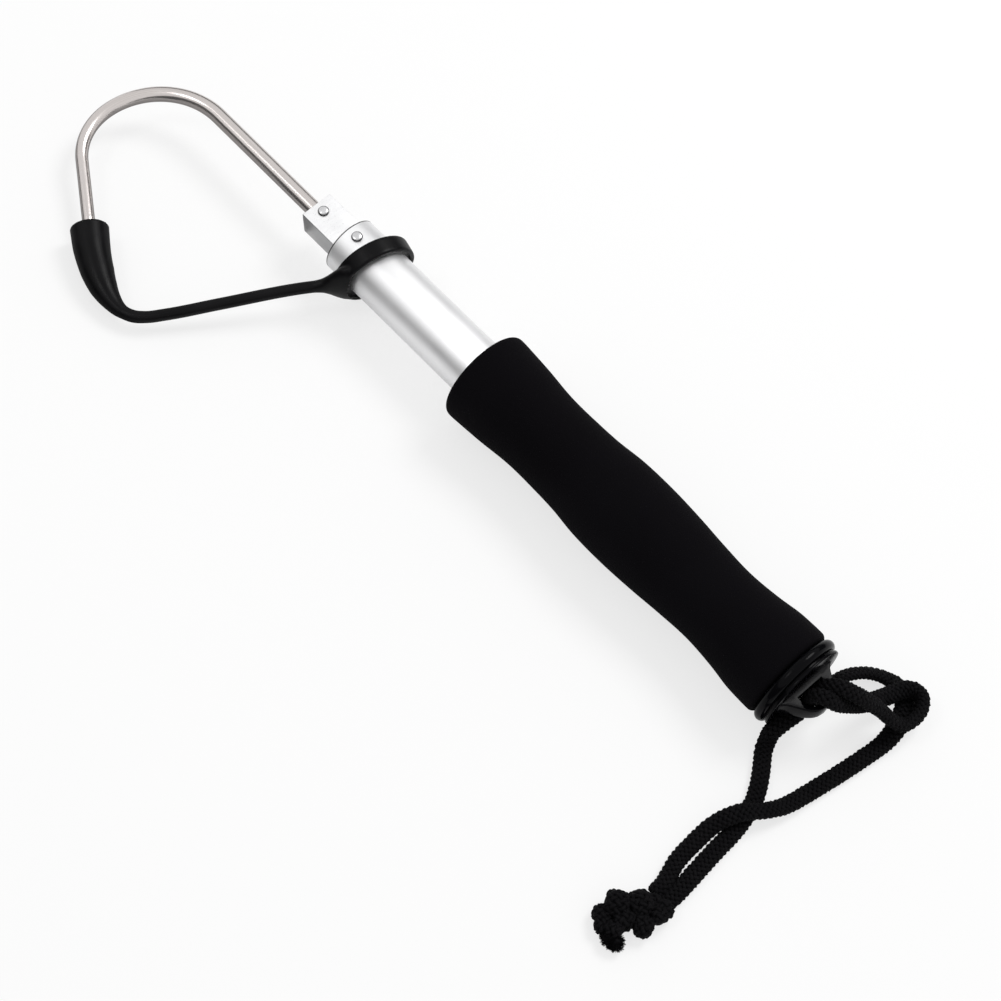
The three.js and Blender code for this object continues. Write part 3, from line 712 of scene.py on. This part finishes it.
def fray_tree():
    """Loose filaments that stand out of the faces of a mesh, each bent its own way."""
    tree, given, painted = shape_tree("Frayed end", Filaments_per_area="Float", Length="Float",
                                      Spread="Float", Filament_radius="Float", Seed="Int")
    scatter = add(tree, "GeometryNodeDistributePointsOnFaces",
                  {"Mesh": given["Geometry"], "Density": given["Filaments per area"], "Seed": given["Seed"]})
    aim = add(tree, "FunctionNodeAlignRotationToVector", {"Vector": scatter.outputs["Normal"]}, axis="Z")
    size = add(tree, "FunctionNodeRandomValue", {2: FRAY_SHORTEST, 3: 1.0, "Seed": given["Seed"]},
               data_type="FLOAT")
    line = add(tree, "GeometryNodeCurvePrimitiveLine", {"Length": given["Length"]}, mode="DIRECTION")
    finer = add(tree, "GeometryNodeResampleCurve", {0: line.outputs[0], "Count": 6})
    onto = add(tree, "GeometryNodeInstanceOnPoints",
               {"Instance": finer.outputs[0], "Rotation": aim.outputs[0], "Scale": size.outputs[1]})
    drift = add(tree, "ShaderNodeTexNoise", {"Scale": FRAY_DRIFT})
    middle = add(tree, "ShaderNodeVectorMath", {0: drift.outputs["Color"], 1: (0.5, 0.5, 0.5)},
                 operation="SUBTRACT")
    place = add(tree, "GeometryNodeSplineParameter").outputs["Factor"]
    grow = add(tree, "ShaderNodeVectorMath",
               {0: middle.outputs[0], "Scale": maths(tree, "MULTIPLY", place, given["Spread"])},
               operation="SCALE")
    bend = add(tree, "GeometryNodeSetPosition", {"Offset": grow.outputs[0]})
    circle = add(tree, "GeometryNodeCurvePrimitiveCircle",
                 {"Resolution": 3, "Radius": given["Filament radius"]})
    tube = add(tree, "GeometryNodeCurveToMesh", {"Profile Curve": circle.outputs[0]})
    chained(tree, scatter, onto, add(tree, "GeometryNodeRealizeInstances"), bend, tube, painted)
    return tree


def from_bmesh(name, shape):
    """The bmesh as a piece of its own."""
    piece = mesh_object(name, [], [])
    shape.to_mesh(piece.data)
    shape.free()
    return piece


def ball(name, centre, radius, squash=1.0):
    shape = bmesh.new()
    bmesh.ops.create_icosphere(shape, subdivisions=3, radius=radius)
    bmesh.ops.scale(shape, vec=(1, 1, squash), verts=shape.verts)
    bmesh.ops.translate(shape, vec=centre, verts=shape.verts)
    return from_bmesh(name, shape)


def make_knot():
    pieces = []
    for middle, radius, way in KNOT_LOBES:
        middle, way = KNOT + Vector(middle), Vector(way).normalized()
        reach = radius - WRAP_DEPTH * BRAID_THICKNESS / 2
        line = np.array([middle + way * (reach * math.sin(t)) + Vector((0, 0, reach * math.cos(t)))
                         for t in np.linspace(-WRAP_REACH, WRAP_REACH, 64)])
        line[:, 2] = np.maximum(line[:, 2], WRAP_LOWEST)
        side = way.cross(Vector((0, 0, 1)))
        across, over = band_frame(line, np.arange(len(line)), [(0, side), (len(line) - 1, side)])
        bulge = np.cos(np.linspace(-WRAP_TAPER, WRAP_TAPER, len(line))) ** 0.5
        share = (radius - STRAND_RADIUS - CROSSING_LIFT) / (BRAID_WIDTH / 2 - STRAND_RADIUS - CROSSING_LIFT)
        depths = np.full(len(line), WRAP_DEPTH)
        pieces.append(braided("wrap", line, across, over, WRAP_FULLNESS * share * bulge, depths,
                              run_along(line)))
        pieces.append(ball("filling", middle, FILLING_SHARE * radius))
    fray = fray_tree()
    for seed, end in enumerate(TAIL_ENDS):
        stub = ball("stub", KNOT + Vector(end), STUB_RADIUS, STUB_SQUASH)
        tuft = ball("tuft", KNOT + Vector(end), TUFT_RADIUS, TUFT_SQUASH)
        with_tree(tuft, fray, Seed=seed, Finish=FINISHES["cord_braid"], **FRAY)
        pieces += [stub, tuft]
    knot = combined("lanyard_knot_wraps", *pieces)
    for vertex in knot.data.vertices:
        vertex.co.z = max(vertex.co.z, FLOOR_GAP)
    return placed(knot, "lanyard_knot", "handle", "cord_braid")


knot = make_knot()
for name, route, lie, bunch, leave, on_it in (("lanyard_lead", LEAD_ROUTE, LEAD_LIE, LEAD_BUNCH, -1, []),
                                              ("lanyard_loop", LOOP_ROUTE, LOOP_LIE, LOOP_BUNCH, 0, [knot])):
    cord, line, length = make_cord(name + "_braid", name, route, lie, bunch)


# Pole
def sleeve_tree():
    """A round tube with eased rims: a long thin section carried round a circle."""
    tree, given, painted = shape_tree("Pole tube", Outer_radius="Float", Wall="Float", Length="Float",
                                      Eased_edge="Float", Sides="Int")
    radius = maths(tree, "SUBTRACT", given["Outer radius"], maths(tree, "MULTIPLY", given["Wall"], 0.5))
    circle = add(tree, "GeometryNodeCurvePrimitiveCircle", {"Radius": radius, "Resolution": given["Sides"]})
    section = add(tree, "GeometryNodeCurvePrimitiveQuadrilateral",
                  {"Width": given["Wall"], "Height": given["Length"]})
    eased = add(tree, "GeometryNodeFilletCurve",
                {0: section.outputs[0], "Radius": given["Eased edge"], "Count": 3}, mode="POLY")
    around = add(tree, "GeometryNodeCurveToMesh", {"Profile Curve": eased.outputs[0]})
    aim = add(tree, "GeometryNodeTransform", {"Rotation": (0, math.pi / 2, 0)})
    chained(tree, circle, around, aim, add(tree, "GeometryNodeRealizeInstances"), painted)
    return tree


TUBE_WALL = 0.0009
TUBE_EDGE = 0.0002


def make_tubes():
    tree = sleeve_tree()
    for name, node, body in (("front_tube_drawn", "front_tube", "front_pole"),
                             ("mid_tube_drawn", "mid_tube", "mid_pole"),
                             ("outer_tube_drawn", "outer_tube", "handle")):
        low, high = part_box(node)
        tube = mesh_object(name, [], [])
        with_tree(tube, tree, Outer_radius=(high.z - low.z) / 2, Wall=TUBE_WALL, Length=high.x - low.x,
                  Eased_edge=TUBE_EDGE, Sides=160, Finish=FINISHES["tube_aluminium"])
        tube.data.transform(Matrix.Translation(((low.x + high.x) / 2, AXIS_Y, AXIS_Z)))
        face_outwards(tube)
        smooth(tube)
        placed(tube, node, body, "tube_aluminium")


# Head: hook, block and rivets
SHANK_RADIUS = 0.0035
LEG_RADIUS = 0.00265
TIP_RADIUS = 0.0003
TIP_LENGTH = 0.014
HOOK_INSET = 0.0174
BOW_START = -0.0833
WIDE_BOW = 0.0333
TIGHT_BOW = 0.0271
TIGHT_TURN = math.radians(57.1)
LEG_LENGTH = 0.04375
RIVET_RADIUS = 0.00235
RIVET_HEIGHT = 0.0011
RIVET_PIN = 0.0012
BLOCK_EDGE = 0.0005
BLOCK_SHANK = 0.025  # the block's round shank in the front tube
BLOCK_SHANK_ROOT = 0.0002
BLOCK_SHANK_EDGE = 0.0006
FIT_GAP = 0.0003
OVERRUN = 0.002  # a cutter's reach past the face it cuts


def hook_line():
    """The rod's centreline in the head's plane: shank, wide bow, tight bow and leg."""
    shank = [(x, 0.0) for x in np.linspace(HOOK_INSET - BLOCK_LENGTH, BOW_START, 60)]
    wide = [(BOW_START + WIDE_BOW * math.cos(t), -WIDE_BOW + WIDE_BOW * math.sin(t))
            for t in np.linspace(math.pi / 2, math.pi, 50)[1:]]
    centre = np.array((BOW_START - WIDE_BOW + TIGHT_BOW, -WIDE_BOW))
    tight = [tuple(centre + TIGHT_BOW * np.array((math.cos(t), math.sin(t))))
             for t in np.linspace(math.pi, math.pi + TIGHT_TURN, 32)[1:]]
    way = np.array((math.sin(TIGHT_TURN), -math.cos(TIGHT_TURN)))
    leg = [tuple(np.array(tight[-1]) + way * d) for d in np.linspace(0, LEG_LENGTH, 44)[1:]]
    return np.array(shank + wide + tight + leg), way, np.array(tight[-1])


def make_hook(sides=48):
    line, _, _ = hook_line()
    run = run_along(line)
    radii = np.interp(run[-1] - run, [0, TIP_LENGTH, LEG_LENGTH, run[-1] + BOW_START],
                      [TIP_RADIUS, LEG_RADIUS, LEG_RADIUS, SHANK_RADIUS])
    piece = swept_flat("hook_rod", line, radii, radii, sides)
    layer = piece.data.uv_layers.new(name="along rod")
    for corner in piece.data.loops:
        i, j = divmod(corner.vertex_index, sides)
        layer.data[corner.index].uv = (run[i], abs(j / sides - 0.5))
    piece.data.transform(HEAD)
    face_outwards(piece)
    smooth(piece)
    placed(piece, "hook", "front_pole", "hook_steel")


def cylinder_along(name, start, end, radius, sides=64):
    """A plain rod on the X axis, to cut with."""
    return turned(name, [(start, 0), (start, radius), (end, radius), (end, 0)], sides, Matrix.Identity(4))


def make_block():
    shape = bmesh.new()
    bmesh.ops.create_cube(shape, size=1)
    bmesh.ops.scale(shape, vec=(BLOCK_LENGTH, BLOCK_WIDTH, BLOCK_HEIGHT), verts=shape.verts)
    bmesh.ops.translate(shape, vec=(-BLOCK_LENGTH / 2, 0, 0), verts=shape.verts)
    bmesh.ops.bevel(shape, geom=shape.edges[:], offset=BLOCK_EDGE, segments=3, profile=0.6, affect="EDGES")
    piece = from_bmesh("head_block_milled", shape)
    radius = TUBE_RADIUS - TUBE_WALL - FIT_GAP
    section = filleted([(-BLOCK_SHANK_ROOT, 0), (-BLOCK_SHANK_ROOT, radius), (BLOCK_SHANK, radius),
                        (BLOCK_SHANK, 0)], BLOCK_SHANK_EDGE)
    carved(piece, turned("shank", section, 96, Matrix.Identity(4)), "UNION")
    carved(piece, cylinder_along("bore", -BLOCK_LENGTH - OVERRUN, HOOK_INSET - BLOCK_LENGTH + FIT_GAP,
                                 SHANK_RADIUS + FIT_GAP), "DIFFERENCE")
    piece.data.transform(HEAD)
    smooth(piece, 28)
    placed(piece, "head_block", "front_pole", "block_aluminium")


def make_rivet(name, node, seat):
    """A pin across the head with a domed head at each end, sat on faces at plus and minus seat."""
    low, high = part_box(node)
    middle = HEAD.inverted() @ ((low + high) / 2)
    face = seat + FIT_GAP / 2
    dome = [(face + RIVET_HEIGHT * max(math.cos(t), 0) ** 0.75,
             RIVET_RADIUS * math.sin(t) ** 0.85 if t else 0.0) for t in np.linspace(0, math.pi / 2, 16)]
    profile = dome + [(face, RIVET_PIN), (-face, RIVET_PIN)] + [(-x, r) for x, r in reversed(dome)]
    piece = turned(name, profile, 48, Matrix.Identity(4))
    rim = piece.data.attributes.new("rim", "FLOAT", "POINT")
    for vertex, mark in zip(piece.data.vertices, rim.data):
        mark.value = math.hypot(vertex.co.y, vertex.co.z) / RIVET_RADIUS
    upright = Matrix.Translation((middle.x, 0, 0)) @ Matrix.Rotation(-math.pi / 2, 4, "Y")
    piece.data.transform(HEAD @ upright)
    smooth(piece, 40)
    placed(piece, node, "front_pole", "rivet_aluminium")


# Point guard
RING_BORE = 0.0146
RING_WALL = 0.0022
RING_HEIGHT = 0.0076
RING_STATION = 0.0149
RING_ASIDE = 0.00042
RING_DOWN = 0.00063
RING_TURN = math.radians(13)
RING_LEAN = math.radians(3)
MOUTH_RADIUS = 0.008
MOUTH_BORE = 0.006
GUARD_COVER = 0.0106
# The arm's route from the mouth to the ring's foot, then its half sizes in the mouth's radius
ARM_ROUTE = [(0, 0), (0.102, -0.095), (0.202, -0.168), (0.281, -0.213), (0.363, -0.24), (0.436, -0.242),
             (0.496, -0.209), (0.544, -0.14), (0.589, -0.038), (0.712, 0.287), (0.903, 0.787), (1, 1)]
HORN_WIDTHS = [
    (0, 1), (0.07, 0.955), (0.16, 0.85), (0.22, 0.71), (0.29, 0.46), (0.33, 0.34), (0.4, 0.31), (1, 0.31),
]
HORN_HEIGHTS = [
    (0, 1), (0.07, 0.94), (0.16, 0.8), (0.22, 0.66), (0.29, 0.44), (0.33, 0.35), (0.4, 0.32), (1, 0.32),
]
# The web from the arm's neck into the ring: share of the way, then its half width in the ring's half
# height and its half height in the ring's outer radius
WEB_SHARES = [(0, 0.62, 0.15), (0.25, 0.63, 0.16), (0.42, 0.68, 0.22), (0.56, 0.8, 0.35), (0.7, 0.97, 0.52),
              (0.85, 1.08, 0.66), (1, 1.1, 0.7)]
WEB_NECK = 0.88  # share of the arm's route
WEB_REACH = 0.25  # how far the web runs into the ring, in its outer radii
RING_EDGE = 0.0009
BORE_END = 0.0014
TIP_ROOM = 0.003
SKIN_STEP = 0.00042  # voxels that blend the parts into one moulding
SKIN_ROUNDS = 9


def make_web(neck, foot, outer):
    """A bar that widens and grows taller from the arm's neck until it is part of the ring."""
    inward = (foot - neck) / np.linalg.norm(foot - neck)
    shares = np.linspace(0, 1, 24)
    line = np.array([neck + (foot + inward * WEB_REACH * outer - neck) * t for t in shares])
    stations, wide, tall = zip(*WEB_SHARES)
    return swept_flat("web", line, RING_HEIGHT / 2 * np.interp(shares, stations, wide),
                      outer * np.interp(shares, stations, tall))


def make_guard():
    _, way, leg_start = hook_line()
    mouth = leg_start + way * (LEG_LENGTH - GUARD_COVER)
    turn = np.array([[math.cos(RING_TURN), math.sin(RING_TURN)], [-math.sin(RING_TURN), math.cos(RING_TURN)]])
    foot = turn @ np.array([0, -RING_BORE - RING_WALL / 2]) + np.array([RING_STATION, RING_ASIDE])
    ring_place = (Matrix.Translation((RING_STATION, RING_ASIDE, -RING_DOWN))
                  @ Matrix.Rotation(-RING_TURN, 4, "Z") @ Matrix.Rotation(RING_LEAN, 4, "Y"))
    half, outer = RING_HEIGHT / 2, RING_BORE + RING_WALL
    section = filleted([(0, RING_BORE), (-half, RING_BORE), (-half, outer), (half, outer), (half, RING_BORE),
                        (0, RING_BORE)], RING_EDGE, 4)
    ring = turned("point_guard_rubber", section, 128, ring_place)
    shares = np.linspace(0, 1, 120)
    line = smooth_curve([mouth + np.array(p) * (foot - mouth) for p in ARM_ROUTE], shares)
    widths, heights = (MOUTH_RADIUS * np.interp(shares, *zip(*sizes))
                       for sizes in (HORN_WIDTHS, HORN_HEIGHTS))
    neck = line[int(WEB_NECK * len(line))]
    for part in (swept_flat("arm", line, widths, heights), make_web(neck, foot, outer)):
        face_outwards(part)
        carved(ring, part, "UNION")
    through = cylinder_along("through", -RING_HEIGHT, RING_HEIGHT, RING_BORE, 128)
    through.data.transform(ring_place)
    carved(ring, through, "DIFFERENCE")
    depth = GUARD_COVER + TIP_ROOM
    bore_place = (Matrix.Translation((mouth[0], mouth[1], 0))
                  @ Matrix.Rotation(math.atan2(way[1], way[0]), 4, "Z"))
    carved(ring, turned("bore", [(-OVERRUN, 0), (-OVERRUN, MOUTH_BORE), (0, MOUTH_BORE), (depth, BORE_END),
                                 (depth, 0)], 64, bore_place), "DIFFERENCE")
    ring.data.transform(HEAD)
    skin = ring.modifiers.new("skin", "REMESH")
    skin.mode, skin.voxel_size = "VOXEL", SKIN_STEP
    ease = ring.modifiers.new("ease", "SMOOTH")
    ease.factor, ease.iterations = 0.5, SKIN_ROUNDS
    settled(ring)
    smooth(ring, 180)
    placed(ring, "point_guard", "guard", "guard_rubber")


# Grip
GRIP_EDGE = 0.0024
WAVE_START = GRIP_EDGE * 1.2  # from each end, behind the rounded edge
GRIP_BORE = 0.0152
GRIP_BORE_EDGE = 0.0005
GRIP_SEAM = 0.02  # where the profile closes on itself inside the bore
# Two waists: (share of the length, share of the widest radius)
GRIP_OUTLINE = [(0.025, 1), (0.11, 0.951), (0.2, 0.879), (0.287, 0.877), (0.348, 0.894), (0.426, 0.956),
                (0.512, 0.967), (0.615, 0.927), (0.695, 0.874), (0.779, 0.84), (0.864, 0.889), (0.925, 0.956),
                (0.968, 0.969)]


def make_grip():
    start, length = grip_low.x - FRONT_X, grip_high.x - grip_low.x
    end, radius = start + length, (grip_high.z - grip_low.z) / 2
    wave = smooth_curve([(start + a * length, r * radius) for a, r in GRIP_OUTLINE], np.linspace(0, 1, 150))
    wave = wave[(wave[:, 0] > start + WAVE_START) & (wave[:, 0] < end - WAVE_START)]
    front, rear = ([(station + inward * GRIP_EDGE * (1 - math.cos(t)), out - GRIP_EDGE * (1 - math.sin(t)))
                    for t in np.linspace(0, math.pi / 2, 8)]
                   for station, out, inward in ((start, wave[0, 1], 1), (end, wave[-1, 1], -1)))
    profile = [(start + GRIP_SEAM, GRIP_BORE), (start + GRIP_BORE_EDGE, GRIP_BORE),
               (start, GRIP_BORE + GRIP_BORE_EDGE), *front, *map(tuple, wave), *reversed(rear),
               (end, GRIP_BORE + GRIP_BORE_EDGE), (end - GRIP_BORE_EDGE, GRIP_BORE),
               (start + GRIP_SEAM, GRIP_BORE)]
    piece = turned("grip_foam", profile, 160)
    smooth(piece, 50)
    placed(piece, "grip", "handle", "grip_foam")


# End cap
BEAD_RADIUS = 0.0024
BEAD_RING = 0.0179
GROOVE_RADIUS = 0.0171
GROOVE_WIDTH = 0.0007
DISC_RADIUS = 0.0189
DISC_THICKNESS = 0.0012
SPIGOT_RADIUS = 0.0137
SPIGOT_WALL = 0.002
CAP_FLOOR = 0.0012  # how far the hollow stops behind the grip's end
SPIGOT_EDGE = 0.0004
DISC_EDGE = 0.0005
LUG_EDGE = 0.0009
LUG_ROOT = 0.001  # how far the lug runs into the disc
LUG_HALF_WIDTH = 0.0146
LUG_REACH = 0.0117
LUG_LIP = 0.0026
LUG_TOP = 0.0044
LUG_THICKNESS = 0.007
EYE_START = 0.002
EYE_HALF_WIDTH = 0.0066
EYE_CUT = 0.02  # the cutter's reach, up and down from the lug's top
LUG_OUTLINE = [(0, 1), (0.12, 0.85), (0.38, 0.7), (0.72, 0.495), (0.96, 0.21), (1, 0)]
EYE_OUTLINE = [(0.02, 0.97), (0.4, 0.97), (0.8, 0.8), (0.97, 0.36), (1, 0)]


def mirrored(shares, start, length, half_width, count):
    half = smooth_curve([(start + a * length, -o * half_width) for a, o in shares], np.linspace(0, 1, count))
    return [tuple(p) for p in half] + [(x, -y) for x, y in half[-2::-1]]


def make_cap():
    inset, bead_start = cap_low.x - FRONT_X, grip_high.x - FRONT_X + FIT_GAP
    groove = bead_start + 2 * BEAD_RADIUS
    disc = groove + GROOVE_WIDTH
    rear = disc + DISC_THICKNESS
    middle = bead_start + BEAD_RADIUS
    bead = [(middle - BEAD_RADIUS * math.cos(t), BEAD_RING + BEAD_RADIUS * math.sin(t))
            for t in np.linspace(0, math.pi, 20)]
    hollow, floor = SPIGOT_RADIUS - SPIGOT_WALL, bead_start - FIT_GAP + CAP_FLOOR
    body = turned("end_cap_moulded", [
        (floor, 0), (floor, hollow), (inset, hollow), (inset, SPIGOT_RADIUS - SPIGOT_EDGE),
        (inset + SPIGOT_EDGE, SPIGOT_RADIUS), (bead_start, SPIGOT_RADIUS), *bead, (groove, GROOVE_RADIUS),
        (disc, GROOVE_RADIUS), (disc, DISC_RADIUS - 0.4 * DISC_EDGE), (disc + 0.6 * DISC_EDGE, DISC_RADIUS),
        (rear - 0.8 * DISC_EDGE, DISC_RADIUS), (rear - 0.2 * DISC_EDGE, DISC_RADIUS - 0.2 * DISC_EDGE),
        (rear, DISC_RADIUS - DISC_EDGE), (rear, 0)], 160)
    outline = mirrored(LUG_OUTLINE, rear, LUG_REACH, LUG_HALF_WIDTH, 14)
    outline = [(rear - LUG_ROOT, -LUG_HALF_WIDTH), *outline, (rear - LUG_ROOT, LUG_HALF_WIDTH)]
    lug = flat_plate("lug", outline, LUG_TOP - LUG_THICKNESS, LUG_TOP)
    eye = flat_plate("eye", mirrored(EYE_OUTLINE, rear + EYE_START, LUG_REACH - LUG_LIP - EYE_START,
                                     EYE_HALF_WIDTH, 14), LUG_TOP - EYE_CUT, LUG_TOP + EYE_CUT)
    carved(lug, eye, "DIFFERENCE")
    ease = lug.modifiers.new("ease", "BEVEL")
    ease.width, ease.segments = LUG_EDGE, 4
    ease.limit_method, ease.angle_limit = "ANGLE", math.radians(50)
    settled(lug)
    lug.data.transform(POLE)
    carved(body, lug, "UNION")
    smooth(body, 38)
    placed(body, "end_cap", "handle", "cap_plastic")


make_tubes()
make_hook()
make_block()
make_rivet("hook_rivet_set", "hook_rivet", BLOCK_HEIGHT / 2)
make_rivet("tube_rivet_set", "tube_rivet", TUBE_RADIUS)
make_guard()
make_grip()
make_cap()
for node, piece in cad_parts.items():
    if "_lock_" in node:
        slot = "lock_plastic" if node.endswith(("plug", "collar")) else "lock_brass"
        piece.data.materials.clear()
        piece.data.materials.append(FINISHES[slot])


# Studio
WHITE = (1, 1, 1, 1)
FLOOR_REACH = 6
# How much of the floor, and of the world, is plain white to the camera and in reflections
FLOOR_SEEN, FLOOR_MIRRORED = 0.71, 0.2
WORLD_SEEN, WORLD_MIRRORED = 1.0, 0.82
WORLD_LIGHT = 0.55  # what the world gives to the lit surfaces
# Cards out of view for the metal to reflect: name, place, aim, width, height, shade and glow
CARDS = [
    ("near card", (-0.4, -0.92, 0.452), (-0.4, -0.431, 1.324), 3.6, 1.835, 0.07, 0),
    ("side card", (-1.05, 1.5, 0.36), (-0.1, 0, 0.02), 2.4, 0.9, 0.3, 0),
    ("far card", (0.1, 1.8, 0.45), (-0.15, 0, 0.02), 1.6, 0.8, 0.06, 0),
    ("low card", (-0.25, -0.05, 0.0008), (-0.25, -0.049, 1), 0.3, 0.16, 0.4, 0),
    ("bright card", (-0.82, -0.86, 1.58), (-0.15, 0, 0.02), 1.5, 0.28, 1, 0.9),
]
# Name, place, aim, size and watts
LAMPS = [
    ("soft key", (0.1, 1.0, 1.5), (0, 0, 0), 0.8, 14),
    ("streak", (-0.55, -0.75, 1.45), (-0.1, 0, 0), 0.45, 2.2),
]


def whitened(tree, direct, mirrored):
    """One share for the camera's own rays, and one for those in reflections and through glass."""
    path = add(tree, "ShaderNodeLightPath").outputs
    second_hand = maths(tree, "MAXIMUM", path["Is Glossy Ray"], path["Is Transmission Ray"])
    return maths(tree, "MAXIMUM", maths(tree, "MULTIPLY", path["Is Camera Ray"], direct),
                 maths(tree, "MULTIPLY", second_hand, mirrored))


def sheet(name, material_name, width, height):
    """A flat rectangle, and the nodes of its material."""
    w, h = width / 2, height / 2
    piece = mesh_object(name, [(-w, -h, 0), (w, -h, 0), (w, h, 0), (-w, h, 0)], [(0, 1, 2, 3)])
    material = bpy.data.materials.new(material_name)
    material.use_nodes = True
    piece.data.materials.append(material)
    return piece, material.node_tree


def make_floor():
    """A white table that keeps the shadow: part of what the camera sees of it is plain white."""
    floor, tree = sheet("floor", "white table", 2 * FLOOR_REACH, 2 * FLOOR_REACH)
    tree.nodes.clear()
    cloth = add(tree, "ShaderNodeBsdfDiffuse", {"Color": WHITE})
    glow = add(tree, "ShaderNodeEmission", {"Color": WHITE})
    share = whitened(tree, FLOOR_SEEN, FLOOR_MIRRORED)
    mix = add(tree, "ShaderNodeMixShader", {0: share, 1: cloth.outputs[0], 2: glow.outputs[0]})
    chained(tree, mix, add(tree, "ShaderNodeOutputMaterial"))
    return floor


def aimed(place, aim):
    towards = Vector(aim) - Vector(place)
    return Matrix.Translation(place) @ towards.to_track_quat("-Z", "Y").to_matrix().to_4x4()


def make_card(name, place, aim, width, height, shade, glow):
    card, tree = sheet(name, name, width, height)
    card.matrix_world = aimed(place, aim)
    fill(tree.nodes["Principled BSDF"], {"Base Color": (shade, shade, shade, 1), "Roughness": 1.0,
                                         "Emission Color": WHITE, "Emission Strength": glow})
    card.visible_camera = card.visible_shadow = card.visible_diffuse = False
    return card


def make_lamp(name, place, aim, size, power):
    data = bpy.data.lights.new(name, "AREA")
    data.shape, data.size, data.energy = "DISK", size, power
    lamp = bpy.data.objects.new(name, data)
    bpy.context.collection.objects.link(lamp)
    lamp.matrix_world = aimed(place, aim)


def make_world():
    world = bpy.data.worlds.new("studio")
    bpy.context.scene.world = world
    world.use_nodes = True
    tree = world.node_tree
    share = whitened(tree, WORLD_SEEN, WORLD_MIRRORED)
    level = add(tree, "ShaderNodeMapRange", {"Value": share, "To Min": WORLD_LIGHT, "To Max": 1.0})
    fill(tree.nodes["Background"], {"Color": WHITE, "Strength": level.outputs[0]})


make_floor()
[make_card(*card) for card in CARDS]
for lamp in LAMPS:
    make_lamp(*lamp)
make_world()
bpy.context.scene.view_settings.view_transform = "Standard"
